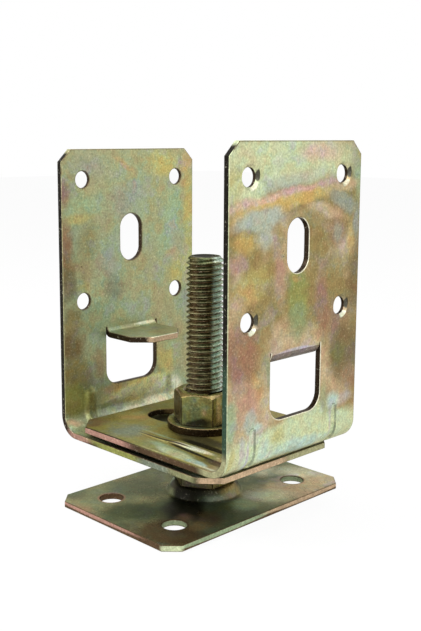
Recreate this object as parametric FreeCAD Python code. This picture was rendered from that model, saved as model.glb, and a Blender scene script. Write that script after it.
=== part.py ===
"""Adjustable base for a timber post.

Two identical bent brackets face each other on one threaded stud.  Their long
slotted legs cross over the stud, so the clear width for the post can be set,
and the nuts above and below them set the height over the base plate.

Millimetres, +Z up.  The origin is on the underside of the base plate, on the
axis of the stud.  X runs across the post, from wall to wall.
"""
import math
import os

import FreeCAD, Part

Vector = FreeCAD.Vector

# Thread and hardware
STUD_D = 12.0
STUD_REACH = 75.5
STUD_TIP = 1.2
HEAD_D = 18.0
HEAD_T = 3.0
HEAD_EDGE = 0.8
NUT_FLATS = 18.0
NUT_H = 10.0
NUT_TURN = 30.0
NUT_CHAMFER_ANGLE = 30.0
NUT_FACE_RATIO = 0.95
THREAD_FIT = 0.05
THREAD_SINK = 0.7
WASHER_D = 24.0
WASHER_T = 2.5
WASHER_EDGE = 0.3
CLEARANCE_HOLE = 1.0

# Base plate
PLATE_X = 54.0
PLATE_Y = 79.0
PLATE_T = 2.0
PLATE_CORNER = 4.2
ANCHOR_D = 7.6
ANCHOR_SPACING_X = 29.5
ANCHOR_SPACING_Y = 54.0
BOSS_D = 24.0
BOSS_TOP_D = 21.4
BOSS_H = 3.5
BOSS_FOOT_R = 0.8
BOSS_SHOULDER_R = 1.2
BOSS_WALL = 1.4
STUD_HOLE_GAP = 0.2

# Bracket sheet
SHEET = 2.0
POST_WIDTH = 72.0
WALL_W = 58.0
WALL_H = 94.0
WALL_CORNER = 4.0
BEND_R = 5.0
LEG_CORNER_LONG = 4.2
LEG_CORNER_WIDE = 6.0
LEG_END_GAP = 0.2

# Fixing holes in the wall
SCREW_D = 5.5
SCREW_SINK_D = 7.1
SCREW_SINK_ANGLE = 90.0
SCREW_SPACING_Y = 41.0
SCREW_SPACING_Z = 40.0
SCREW_TOP = 9.8
WALL_SLOT_W = 9.5
WALL_SLOT_L = 16.0

# Window and the seat tab bent out of it
SEAT_H = 32.7
WINDOW_W = 22.5
WINDOW_R = 5.0
TAB_REACH = 17.5
TAB_CORNER = 5.6
TAB_BEND_R = 1.5
TAB_SIDE_GAP = 0.3
TAB_END_GAP = 0.3

# Stiffening beads pressed across the bend
BEAD_SPACING = 37.0
BEAD_W = 5.0
BEAD_H = 1.3
BEAD_WALL_H = 14.0
BEAD_WALL_FADE = 5.0
BEAD_LEG_L = 42.0
BEAD_LEG_FADE = 12.0

# Play between the pieces and travel along the slots
SLIDE_GAP = 0.05
WIDTH_TRAVEL = 17.5
SLOT_END_GAP = 0.3
SLOT_BACK_PLAY = 1.0

# Heights of the stack, worked out from the base up
plate_top = PLATE_T
boss_top = plate_top + BOSS_H
boss_ceiling = boss_top - PLATE_T
head_bottom = boss_ceiling - HEAD_T
stud_top = boss_ceiling + STUD_REACH
lower_nut_z = boss_top
lower_washer_z = lower_nut_z + NUT_H
lower_leg_z = lower_washer_z + WASHER_T
upper_leg_z = lower_leg_z + SHEET + BEAD_H + SLIDE_GAP
upper_washer_z = upper_leg_z + SHEET
upper_nut_z = upper_washer_z + WASHER_T

# Bracket measures along its leg, from the outer face of the wall
wall_x = POST_WIDTH / 2.0 + SHEET
bend_outer_r = BEND_R + SHEET
leg_rise = BEAD_H + SLIDE_GAP
bead_bend_r = BEND_R - BEAD_H
bend_room = BEND_R - math.sqrt(bead_bend_r ** 2 - (BEND_R - leg_rise) ** 2)
leg_length = SHEET + POST_WIDTH - bend_room - LEG_END_GAP
stud_slot_w = STUD_D + CLEARANCE_HOLE
slot_far = wall_x + WIDTH_TRAVEL + stud_slot_w / 2.0 + SLOT_END_GAP
slot_near = wall_x - stud_slot_w / 2.0 - SLOT_BACK_PLAY
tab_top_z = SEAT_H
tab_blank = TAB_REACH - TAB_BEND_R + math.pi / 2.0 * (TAB_BEND_R + SHEET / 2.0)
window_z = tab_top_z + TAB_BEND_R - tab_blank - TAB_END_GAP
upper_row_z = WALL_H - SCREW_TOP
lower_row_z = upper_row_z - SCREW_SPACING_Z
wall_slot_z = (upper_row_z + lower_row_z) / 2.0
OVERCUT = 1.0


def cylinder(radius, height, at, axis=Vector(0, 0, 1)):
    """Round bar from the point at, along the axis."""
    return Part.makeCylinder(radius, height, at, axis)


def prism(points, rise):
    """Solid of a closed outline, pushed along the vector rise."""
    wire = Part.makePolygon(list(points) + [points[0]])
    return Part.Face(wire).extrude(rise)


def arc(start, middle, end):
    """Circular edge through three points."""
    return Part.Arc(start, middle, end).toShape()


def quarter(centre, radius, from_angle, to_angle, plane):
    """Arc about a centre, where plane turns two numbers into a point."""
    spots = []
    for angle in (from_angle, (from_angle + to_angle) / 2.0, to_angle):
        turn = math.radians(angle)
        u = centre[0] + radius * math.cos(turn)
        v = centre[1] + radius * math.sin(turn)
        spots.append(plane(u, v))
    return arc(*spots)


def closed_face(edges):
    """Flat face inside a loop of edges."""
    return Part.Face(Part.Wire(Part.__sortEdges__(edges)))


def line(start, end):
    """Straight edge."""
    return Part.makeLine(start, end)


def turned(outline):
    """Solid of revolution about Z of (radius, height) corners."""
    points = [Vector(radius, 0, height) for radius, height in outline]
    wire = Part.makePolygon(points + [points[0]])
    return Part.Face(wire).revolve(Vector(0, 0, 0), Vector(0, 0, 1), 360)


def oblong(length, width, depth, centre, along, normal):
    """Slot-shaped plug: two round ends joined by a straight middle."""
    half = (length - width) / 2.0
    radius = width / 2.0
    side = normal.cross(along)
    one = centre - along * half
    two = centre + along * half
    edges = [line(one + side * radius, two + side * radius),
             arc(two + side * radius, two + along * radius, two - side * radius),
             line(two - side * radius, one - side * radius),
             arc(one - side * radius, one - along * radius, one + side * radius)]
    return closed_face(edges).extrude(normal * depth)


def four_places(spacing_one, spacing_two):
    """Centres of a rectangular group of four holes."""
    for first in (-1, 1):
        for second in (-1, 1):
            yield first * spacing_one / 2.0, second * spacing_two / 2.0


def ring_edges(shape, radius, z):
    """Round edges of a shape that have this radius and height."""
    found = []
    for edge in shape.Edges:
        if isinstance(edge.Curve, Part.Circle) and abs(edge.Curve.Radius - radius) < 1e-6:
            if abs(edge.Curve.Center.z - z) < 1e-6:
                found.append(edge)
    return found


def base_plate():
    """Flat plate with cut corners, anchor holes and a pressed-up boss."""
    x, y, c = PLATE_X / 2.0, PLATE_Y / 2.0, PLATE_CORNER
    corners = [(x - c, -y), (x, c - y), (x, y - c), (x - c, y),
               (c - x, y), (-x, y - c), (-x, c - y), (c - x, -y)]
    plate = prism([Vector(px, py, 0) for px, py in corners], Vector(0, 0, PLATE_T))
    plate = add_boss(plate)
    for px, py in four_places(ANCHOR_SPACING_X, ANCHOR_SPACING_Y):
        plate = plate.cut(cylinder(ANCHOR_D / 2.0, PLATE_T + 2 * OVERCUT, Vector(px, py, -OVERCUT)))
    return plate


def add_boss(plate):
    """Raise the boss out of the plate, hollow it from below and round its bends."""
    foot, top = BOSS_D / 2.0, BOSS_TOP_D / 2.0
    plate = plate.fuse(turned([(0, 0), (foot, 0), (foot, plate_top), (top, boss_top), (0, boss_top)]))
    plate = plate.removeSplitter()
    plate = plate.makeFillet(BOSS_SHOULDER_R, ring_edges(plate, top, boss_top))
    plate = plate.makeFillet(BOSS_FOOT_R, ring_edges(plate, foot, plate_top))
    mouth, ceiling = foot - BOSS_WALL, top - BOSS_WALL
    plate = plate.cut(turned([(0, 0), (mouth, 0), (ceiling, boss_ceiling), (0, boss_ceiling)]))
    plate = plate.makeFillet(BOSS_SHOULDER_R, ring_edges(plate, mouth, 0.0))
    return plate.cut(cylinder(STUD_D / 2.0 + STUD_HOLE_GAP, boss_top + OVERCUT, Vector(0, 0, 0)))


def stud():
    """Bolt with a thin round head that hides in the boss."""
    radius, head = STUD_D / 2.0, HEAD_D / 2.0
    outline = [(0, head_bottom), (head - HEAD_EDGE, head_bottom), (head, head_bottom + HEAD_EDGE),
               (head, boss_ceiling), (radius, boss_ceiling), (radius, stud_top - STUD_TIP),
               (radius - STUD_TIP, stud_top), (0, stud_top)]
    return turned(outline)


def nut(z):
    """Hexagon nut with a chamfered upper face and a countersunk bore."""
    corner = NUT_FLATS / math.sqrt(3.0)
    turns = [math.radians(NUT_TURN + 60 * k) for k in range(6)]
    ring = [Vector(corner * math.cos(turn), corner * math.sin(turn), 0) for turn in turns]
    block = prism(ring, Vector(0, 0, NUT_H))
    face = NUT_FLATS / 2.0 * NUT_FACE_RATIO
    reach = corner + OVERCUT
    drop = (reach - face) * math.tan(math.radians(NUT_CHAMFER_ANGLE))
    form = turned([(0, 0), (reach, 0), (reach, NUT_H - drop), (face, NUT_H), (0, NUT_H)])
    bore = STUD_D / 2.0 + THREAD_FIT
    sink = bore + THREAD_SINK
    inside = turned([(0, -OVERCUT), (sink, -OVERCUT), (sink, 0), (bore, THREAD_SINK),
                     (bore, NUT_H - THREAD_SINK), (sink, NUT_H), (sink, NUT_H + OVERCUT), (0, NUT_H + OVERCUT)])
    body = block.common(form).cut(inside)
    body.translate(Vector(0, 0, z))
    return body


def washer(z):
    """Round washer with softened outer edges."""
    outer, bore, edge = WASHER_D / 2.0, (STUD_D + CLEARANCE_HOLE) / 2.0, WASHER_EDGE
    body = turned([(bore, 0), (outer - edge, 0), (outer, edge), (outer, WASHER_T - edge),
                   (outer - edge, WASHER_T), (bore, WASHER_T)])
    body.translate(Vector(0, 0, z))
    return body


def bracket_blank():
    """Sheet bent once: a wall standing on one end of a flat leg."""
    def at(x, z):
        return Vector(x, -WALL_W / 2.0, z)

    ro, t = bend_outer_r, SHEET
    edges = [line(at(0, WALL_H), at(0, ro)),
             quarter((ro, ro), ro, 180, 270, at),
             line(at(ro, 0), at(leg_length, 0)),
             line(at(leg_length, 0), at(leg_length, t)),
             line(at(leg_length, t), at(ro, t)),
             quarter((ro, ro), BEND_R, 270, 180, at),
             line(at(t, ro), at(t, WALL_H)),
             line(at(t, WALL_H), at(0, WALL_H))]
    return closed_face(edges).extrude(Vector(0, WALL_W, 0))


def bracket_room():
    """All the space on the inner side of the bracket's outer face."""
    def at(x, z):
        return Vector(x, -WALL_W / 2.0, z)

    ro = bend_outer_r
    edges = [line(at(0, WALL_H), at(0, ro)),
             quarter((ro, ro), ro, 180, 270, at),
             line(at(ro, 0), at(leg_length, 0)),
             line(at(leg_length, 0), at(leg_length, WALL_H)),
             line(at(leg_length, WALL_H), at(0, WALL_H))]
    return closed_face(edges).extrude(Vector(0, WALL_W, 0))


def wall_corner_cuts():
    """Wedges that take off the two upper corners of the wall."""
    for side in (-1, 1):
        y = side * WALL_W / 2.0
        ends = [Vector(-OVERCUT, y - side * WALL_CORNER, WALL_H), Vector(-OVERCUT, y, WALL_H),
                Vector(-OVERCUT, y, WALL_H - WALL_CORNER)]
        yield prism(ends, Vector(SHEET + 2 * OVERCUT, 0, 0))


def leg_corner_cuts():
    """Wedges that take off the two corners at the free end of the leg."""
    for side in (-1, 1):
        y = side * WALL_W / 2.0
        ends = [Vector(leg_length - LEG_CORNER_LONG, y, -OVERCUT), Vector(leg_length, y, -OVERCUT),
                Vector(leg_length, y - side * LEG_CORNER_WIDE, -OVERCUT)]
        yield prism(ends, Vector(0, 0, SHEET + 2 * OVERCUT))


def screw_cuts():
    """Four screw holes, countersunk from the outside of the wall."""
    sink = SCREW_SINK_D / 2.0
    depth = sink / math.tan(math.radians(SCREW_SINK_ANGLE / 2.0))
    for y, z in four_places(SCREW_SPACING_Y, SCREW_SPACING_Z):
        place = Vector(0, y, wall_slot_z + z)
        yield cylinder(SCREW_D / 2.0, SHEET + 2 * OVERCUT, place - Vector(OVERCUT, 0, 0), Vector(1, 0, 0))
        yield Part.makeCone(sink, 0, depth, place, Vector(1, 0, 0))


def wall_slot_cut():
    """Upright oblong hole for a through bolt."""
    return oblong(WALL_SLOT_L, WALL_SLOT_W, SHEET + 2 * OVERCUT, Vector(-OVERCUT, 0, wall_slot_z),
                  Vector(0, 0, 1), Vector(1, 0, 0))


def stud_slot_cut():
    """Long hole in the leg that slides along the stud."""
    middle = (slot_far + slot_near) / 2.0
    return oblong(slot_far - slot_near, stud_slot_w, SHEET + 2 * OVERCUT, Vector(middle, 0, -OVERCUT),
                  Vector(1, 0, 0), Vector(0, 0, 1))


def window_cut():
    """Opening left by the seat tab, with rounded lower corners."""
    def at(y, z):
        return Vector(-OVERCUT, y, z)

    y, r = WINDOW_W / 2.0, WINDOW_R
    low, high = window_z, tab_top_z + TAB_BEND_R
    edges = [line(at(-y, high), at(-y, low + r)),
             quarter((r - y, low + r), r, 180, 270, at),
             line(at(r - y, low), at(y - r, low)),
             quarter((y - r, low + r), r, 270, 360, at),
             line(at(y, low + r), at(y, high)),
             line(at(y, high), at(-y, high))]
    return closed_face(edges).extrude(Vector(SHEET + 2 * OVERCUT, 0, 0))


def seat_tab():
    """Tongue bent inwards under the wall, where the end of the post rests."""
    half = WINDOW_W / 2.0 - TAB_SIDE_GAP

    def at(x, z):
        return Vector(x, -half, z)

    t, r = SHEET, TAB_BEND_R
    pivot = (t + r, tab_top_z + r)
    end = t + TAB_REACH
    edges = [line(at(0, pivot[1]), at(t, pivot[1])),
             quarter(pivot, r, 180, 270, at),
             line(at(t + r, tab_top_z), at(end, tab_top_z)),
             line(at(end, tab_top_z), at(end, tab_top_z - t)),
             line(at(end, tab_top_z - t), at(t + r, tab_top_z - t)),
             quarter(pivot, r + t, 270, 180, at)]
    tab = closed_face(edges).extrude(Vector(0, 2 * half, 0))
    for side in (-1, 1):
        y = side * half
        low = tab_top_z - t - OVERCUT
        ends = [Vector(end - TAB_CORNER, y, low), Vector(end, y, low), Vector(end, y - side * TAB_CORNER, low)]
        tab = tab.cut(prism(ends, Vector(0, 0, t + 2 * OVERCUT)))
    return tab


def bead_run(y, radius, offset, reach_trim):
    """Round bar that follows the bend at an offset inside the outer face and sinks away at both ends."""
    low = offset
    sunk = offset - BEAD_H
    wall_end = BEAD_WALL_H - reach_trim
    leg_end = BEAD_LEG_L - reach_trim
    centre = Vector(bend_outer_r, y, bend_outer_r)
    spots = [Vector(sunk, y, wall_end), Vector(low, y, wall_end - BEAD_WALL_FADE), Vector(low, y, bend_outer_r),
             Vector(bend_outer_r, y, low), Vector(leg_end - BEAD_LEG_FADE, y, low), Vector(leg_end, y, sunk)]
    run = bead_bar(spots[0], spots[1], radius)
    run = run.fuse(bead_bar(spots[1], spots[2], radius))
    bend = Part.makeTorus(bend_outer_r - low, radius, centre, Vector(0, 1, 0))
    corner = Part.makeBox(2 * bend_outer_r, 4 * radius, 2 * bend_outer_r,
                          centre - Vector(2 * bend_outer_r, 2 * radius, 2 * bend_outer_r))
    run = run.fuse(bend.common(corner))
    run = run.fuse(bead_bar(spots[3], spots[4], radius))
    run = run.fuse(bead_bar(spots[4], spots[5], radius))
    for spot in (spots[1], spots[4]):
        run = run.fuse(Part.makeSphere(radius, spot))
    return run


def bead_bar(start, end, radius):
    """Round bar between two points."""
    along = end - start
    return Part.makeCylinder(radius, along.Length, start, along)


def bead_radius(width, height):
    """Radius of the arc that spans a width at a height."""
    return (width * width / 4.0 + height * height) / (2.0 * height)


def add_beads(shape):
    """Press two beads inwards: a ridge on the inside, a groove outside."""
    ridge_r = bead_radius(BEAD_W, BEAD_H)
    groove_r = bead_radius(BEAD_W - SHEET / 2.0, BEAD_H)
    ridge_at = SHEET + BEAD_H - ridge_r
    groove_at = BEAD_H - groove_r
    room = bracket_room()
    for side in (-1, 1):
        y = side * BEAD_SPACING / 2.0
        shape = shape.fuse(bead_run(y, ridge_r, ridge_at, 0.0).common(room))
        shape = shape.cut(bead_run(y, groove_r, groove_at, SHEET / 2.0))
    return shape


def bracket():
    """One whole bracket, with its wall's outer face at X = 0 and its leg along +X."""
    shape = add_beads(bracket_blank())
    cuts = list(wall_corner_cuts()) + list(leg_corner_cuts()) + list(screw_cuts())
    cuts += [wall_slot_cut(), stud_slot_cut(), window_cut()]
    for cut in cuts:
        shape = shape.cut(cut)
    return shape.fuse(seat_tab()).removeSplitter()


def lower_bracket():
    """Bracket with its wall on the -X side and its leg below."""
    shape = bracket()
    shape.translate(Vector(-wall_x, 0, lower_leg_z))
    return shape


def upper_bracket():
    """The same bracket turned round, with its leg on the beads of the lower one."""
    shape = bracket()
    shape.rotate(Vector(0, 0, 0), Vector(0, 0, 1), 180)
    shape.translate(Vector(wall_x, 0, upper_leg_z))
    return shape


PIECES = {
    "base_plate": base_plate,
    "threaded_stud": stud,
    "lower_nut": lambda: nut(lower_nut_z),
    "lower_washer": lambda: washer(lower_washer_z),
    "lower_bracket": lower_bracket,
    "upper_bracket": upper_bracket,
    "upper_washer": lambda: washer(upper_washer_z),
    "upper_nut": lambda: nut(upper_nut_z),
}


def main():
    """Build every piece and write it out."""
    os.makedirs("parts", exist_ok=True)
    for name, make in PIECES.items():
        shape = make()
        box = shape.BoundBox
        print(name, "valid", shape.isValid(), "solids", len(shape.Solids), "volume %.1f" % shape.Volume,
              "z %.2f to %.2f" % (box.ZMin, box.ZMax), "x %.2f to %.2f" % (box.XMin, box.XMax))
        shape.exportStep("parts/%s.step" % name)


main()
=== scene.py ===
"""Looks of the adjustable timber post base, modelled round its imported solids.

Every size is in millimetres until it reaches Blender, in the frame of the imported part: the origin
is under the base plate on the axis of the stud, Z points up and X runs from wall to wall.
"""
from __future__ import annotations

import logging
import math
from dataclasses import dataclass, field
from enum import Enum
from typing import Callable

import bpy
from mathutils import Matrix, Vector

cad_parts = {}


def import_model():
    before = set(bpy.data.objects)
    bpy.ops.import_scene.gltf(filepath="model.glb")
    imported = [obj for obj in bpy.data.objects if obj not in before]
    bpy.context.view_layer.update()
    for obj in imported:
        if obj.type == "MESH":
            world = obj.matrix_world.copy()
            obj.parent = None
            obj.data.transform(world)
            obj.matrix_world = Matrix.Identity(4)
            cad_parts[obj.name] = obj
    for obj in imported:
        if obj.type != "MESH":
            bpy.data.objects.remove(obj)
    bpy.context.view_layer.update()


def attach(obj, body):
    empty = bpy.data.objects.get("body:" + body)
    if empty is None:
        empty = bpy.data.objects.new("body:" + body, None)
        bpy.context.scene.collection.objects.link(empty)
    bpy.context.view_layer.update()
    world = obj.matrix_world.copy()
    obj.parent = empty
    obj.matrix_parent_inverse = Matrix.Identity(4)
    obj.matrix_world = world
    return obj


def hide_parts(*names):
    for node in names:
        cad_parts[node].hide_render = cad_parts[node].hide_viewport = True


MM = 0.001
# How far a face looks the way of its sheet, as a cosine: over FLAT it is the sheet itself, and
# under STEEP it is the side of a bead.
FLAT = 0.97
STEEP = 0.9
# Slack of a test on a place, slack where the place is known exactly, and gap to weld over.
NEAR = 0.1
EXACT = 0.01
WELD = 0.005
# Length of a tool that goes right through a sheet.
PUNCH = 4.0
# Number of sides of a large round, of a slot's end or anchor hole, and of a screw hole.
LARGE_ROUND = 96
SLOT_ROUND = 48
SCREW_ROUND = 40
Spot = tuple[float, float, float]
Ring = tuple[float, float]
Test = Callable[[Vector], bool]
Socket = bpy.types.NodeSocket

log = logging.getLogger("post_base")


class Element(Enum):
    """The kind of mesh element that an edit works on."""

    CORNER = "VERT"
    EDGE = "EDGE"
    FACE = "FACE"


class Blend(Enum):
    """How a cutting or joining tool acts on a workpiece."""

    CUT = "DIFFERENCE"
    JOIN = "UNION"
    COMMON = "INTERSECT"


class Skin(Enum):
    """What a face of a piece is, as painted on it for its finish."""

    SHEET = (0.0, 0.0, 0.0, 1.0)
    CUT = (1.0, 0.0, 0.0, 1.0)
    RIM = (0.0, 1.0, 0.0, 1.0)
    # A countersink carries a tenth of the painted highlight of a bright lip.
    SINK = (0.0, 0.0, 0.1, 1.0)
    LIP = (0.0, 0.0, 1.0, 1.0)


def metres(spot: Spot) -> Vector:
    """Turn millimetres into Blender's metres."""
    return Vector(spot) * MM


def smooth(value: float) -> float:
    """Return a soft step from 0 to 1."""
    value = min(max(value, 0.0), 1.0)
    return value * value * (3.0 - 2.0 * value)


def edge_skin(flat: float, cut: float) -> Skin:
    """Tell a flat face, a rounded rim and a cut edge apart.

    Args:
        flat: How far the face looks the way of its sheet, from 0 to 1.
        cut: Where a cut edge begins, counting down.

    Returns:
        Sheet, rim or cut.
    """
    if flat < cut:
        return Skin.CUT
    return Skin.SHEET if flat > FLAT else Skin.RIM


class Workpiece:
    """One mesh on the bench, shaped by modelling operators."""

    def __init__(self, name: str) -> None:
        """Take over the primitive that was just added.

        Args:
            name: Name of the new piece.
        """
        self.body = bpy.context.object
        self.body.name = name
        self.body.data.name = name
        bpy.ops.object.transform_apply(location=True, rotation=True, scale=True)

    @staticmethod
    def clear_bench() -> None:
        """Leave edit mode and deselect everything."""
        if bpy.context.object and bpy.context.object.mode != "OBJECT":
            bpy.ops.object.mode_set(mode="OBJECT")
        bpy.ops.object.select_all(action="DESELECT")

    @classmethod
    def block(cls, name: str, low: Spot, high: Spot) -> Workpiece:
        """Start from a cube stretched between two corners.

        Args:
            name: Name of the piece.
            low: Lowest corner.
            high: Highest corner.

        Returns:
            The new workpiece.
        """
        cls.clear_bench()
        centre = (metres(low) + metres(high)) / 2.0
        bpy.ops.mesh.primitive_cube_add(size=1.0, location=centre)
        bpy.context.object.scale = metres(high) - metres(low)
        return cls(name)

    @classmethod
    def rod(cls, name: str, radius: float, start: Spot, length: float, along: Spot,
            sides: int = 48) -> Workpiece:
        """Start from a cylinder.

        Args:
            name: Name of the piece.
            radius: Radius of the cylinder.
            start: Centre of its first end.
            length: Its length.
            along: Direction from its first end to its second.
            sides: Number of its side faces.

        Returns:
            The new workpiece.
        """
        cls.clear_bench()
        turn = Vector((0, 0, 1)).rotation_difference(Vector(along)).to_euler()
        middle = metres(start) + Vector(along).normalized() * length * MM / 2.0
        bpy.ops.mesh.primitive_cylinder_add(vertices=sides, radius=radius * MM, depth=length * MM,
                                            location=middle, rotation=turn)
        return cls(name)

    @classmethod
    def turned(cls, name: str, outline: list[Ring], sides: int = 64) -> Workpiece:
        """Turn a solid about the Z axis by raising a circle through its outline.

        Args:
            name: Name of the piece.
            outline: Radius and height of each ring, from the bottom up.
            sides: Number of faces round the axis.

        Returns:
            The new workpiece, closed at both ends.
        """
        cls.clear_bench()
        radius, height = outline[0]
        bpy.ops.mesh.primitive_circle_add(vertices=sides, radius=radius * MM, fill_type="NGON",
                                          location=(0, 0, height * MM))
        piece = cls(name)
        piece.pick(Element.FACE, lambda spot: True)
        for wider, higher in outline[1:]:
            piece.push((0, 0, higher - height))
            ratio = wider / radius
            bpy.ops.transform.resize(value=(ratio, ratio, 1.0), center_override=(0, 0, higher * MM))
            radius, height = wider, higher
        piece.face_outwards()
        return piece

    @classmethod
    def path(cls, name: str, start: Spot, moves: list[Spot]) -> Workpiece:
        """Draw a line of edges from one corner.

        Args:
            name: Name of the piece.
            start: Where the line starts.
            moves: The steps from corner to corner.

        Returns:
            The new workpiece, which has edges only.
        """
        cls.clear_bench()
        middle = metres(start) + Vector((MM, MM, 0)) / 2.0
        bpy.ops.mesh.primitive_plane_add(size=MM, location=middle)
        piece = cls(name)
        near = Vector(start)
        piece.pick(Element.CORNER, lambda spot: (spot - near).length > NEAR)
        bpy.ops.mesh.delete(type="VERT")
        piece.pick(Element.CORNER, lambda spot: True)
        for move in moves:
            piece.push(move)
        return piece

    def take(self) -> None:
        """Make this piece the only selected and active one, in object mode."""
        self.clear_bench()
        self.body.select_set(True)
        bpy.context.view_layer.objects.active = self.body

    def pick(self, element: Element, test: Test) -> None:
        """Select the elements whose place passes a test, and stay in edit mode.

        Args:
            element: Kind of element to select.
            test: Called with a corner, or a face's centre. An edge needs both of its corners.
        """
        self.take()
        bpy.ops.object.mode_set(mode="EDIT")
        bpy.ops.mesh.select_mode(type=element.value)
        bpy.ops.mesh.select_all(action="DESELECT")
        bpy.ops.object.mode_set(mode="OBJECT")
        mesh = self.body.data
        spots = [vertex.co / MM for vertex in mesh.vertices]
        if element is Element.CORNER:
            for vertex, spot in zip(mesh.vertices, spots):
                vertex.select = test(spot)
        elif element is Element.EDGE:
            for edge in mesh.edges:
                edge.select = all(test(spots[index]) for index in edge.vertices)
        else:
            for face in mesh.polygons:
                face.select = test(face.center / MM)
        bpy.ops.object.mode_set(mode="EDIT")

    def push(self, move: Spot) -> None:
        """Extrude what is selected.

        Args:
            move: The way and distance to extrude.
        """
        bpy.ops.mesh.extrude_region_move(TRANSFORM_OT_translate={"value": metres(move)})

    def spin(self, angle: float, centre: Spot, axis: Spot, steps: int) -> None:
        """Extrude what is selected round an axis.

        Args:
            angle: Degrees to turn.
            centre: A point on the axis.
            axis: Direction of the axis.
            steps: Number of steps.
        """
        bpy.ops.mesh.spin(steps=steps, angle=math.radians(angle), center=metres(centre), axis=axis)

    def slice(self, at: Spot, normal: Spot, within: Test | None = None, drop: bool = False,
              fill: bool = False) -> None:
        """Cut faces along a plane.

        Args:
            at: A point of the plane.
            normal: The plane's normal.
            within: Test on a face's centre, or None for all faces.
            drop: Whether what lies on the normal's side is taken away.
            fill: Whether the cut is closed with a face.
        """
        self.pick(Element.FACE, within or (lambda spot: True))
        bpy.ops.mesh.bisect(plane_co=metres(at), plane_no=normal, clear_outer=drop, use_fill=fill,
                            threshold=0.000001)

    def weld(self) -> None:
        """Merge corners that lie together."""
        self.pick(Element.CORNER, lambda spot: True)
        bpy.ops.mesh.remove_doubles(threshold=WELD * MM)

    def face_outwards(self) -> None:
        """Turn every face outwards."""
        self.pick(Element.FACE, lambda spot: True)
        bpy.ops.mesh.normals_make_consistent(inside=False)
        self.take()

    def modify(self, kind: str, **settings: object) -> None:
        """Add a modifier and apply it.

        Args:
            kind: Blender's name of the modifier.
            **settings: Its settings.
        """
        self.take()
        modifier = self.body.modifiers.new(kind.title(), kind)
        for key, value in settings.items():
            setattr(modifier, key, value)
        bpy.ops.object.modifier_apply(modifier=modifier.name)

    def use(self, tool: Workpiece, blend: Blend) -> None:
        """Cut or join with another piece, which is used up.

        Args:
            tool: The other piece.
            blend: What it does.
        """
        self.modify("BOOLEAN", object=tool.body, operation=blend.value, solver="EXACT")
        bpy.data.objects.remove(tool.body, do_unlink=True)

    def soften(self, width: float, sharpness: float = 50.0, steps: int = 2,
               within: Test | None = None) -> None:
        """Round the sharp edges.

        Args:
            width: Width of the rounding.
            sharpness: Smallest angle, in degrees, that counts as sharp.
            steps: Faces across the rounding.
            within: Test on an edge's corners, or None for all edges.
        """
        self.pick(Element.EDGE, lambda spot: False)
        bpy.ops.mesh.edges_select_sharp(sharpness=math.radians(sharpness))
        if within is not None:
            bpy.ops.object.mode_set(mode="OBJECT")
            mesh = self.body.data
            for edge in mesh.edges:
                ends = (mesh.vertices[index].co / MM for index in edge.vertices)
                edge.select = edge.select and all(within(end) for end in ends)
            bpy.ops.object.mode_set(mode="EDIT")
        bpy.ops.mesh.bevel(offset=width * MM, offset_type="OFFSET", segments=steps, profile=0.5,
                           affect="EDGES", clamp_overlap=False, loop_slide=True)
        self.take()

    def turn(self, degrees: float) -> None:
        """Turn the piece about the Z axis.

        Args:
            degrees: Angle to turn.
        """
        self.take()
        self.body.rotation_euler.z = math.radians(degrees)
        bpy.ops.object.transform_apply(location=False, rotation=True, scale=False)

    def move(self, step: Spot) -> None:
        """Shift the piece.

        Args:
            step: How far.
        """
        self.take()
        self.body.location = metres(step)
        bpy.ops.object.transform_apply(location=True, rotation=False, scale=False)

    def paint(self, rule: Callable[[Vector, Vector], Skin]) -> None:
        """Paint on each face what it is, for the finish to read.

        Args:
            rule: Called with a face's centre and the way that it faces.
        """
        self.take()
        mesh = self.body.data
        layer = mesh.color_attributes.new(name="skin", type="FLOAT_COLOR", domain="CORNER")
        for face in mesh.polygons:
            kind = rule(face.center / MM, face.normal)
            for corner in face.loop_indices:
                layer.data[corner].color = kind.value

    def copy(self, name: str) -> Workpiece:
        """Copy the piece with a mesh of its own.

        Args:
            name: Name of the copy.

        Returns:
            The copy.
        """
        self.take()
        bpy.ops.object.duplicate(linked=False)
        return Workpiece(name)

    def finish(self, angle: float = 40.0) -> None:
        """Shade the piece smooth, with sharp edges over an angle and even flat faces.

        Args:
            angle: Largest angle, in degrees, that is shaded smooth.
        """
        self.take()
        bpy.ops.object.shade_smooth_by_angle(angle=math.radians(angle))
        self.modify("WEIGHTED_NORMAL", keep_sharp=True, weight=60)
        self.body.modifiers.clear()


@dataclass(frozen=True)
class Tint:
    """A colour, written as on a colour chart."""

    code: str

    def linear(self) -> tuple[float, float, float, float]:
        """Turn the code into light.

        Returns:
            The colour for a shader socket.
        """
        parts = [int(self.code[k:k + 2], 16) / 255.0 for k in (0, 2, 4)]
        light = [v / 12.92 if v <= 0.04045 else ((v + 0.055) / 1.055) ** 2.4 for v in parts]
        return light[0], light[1], light[2], 1.0


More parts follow.
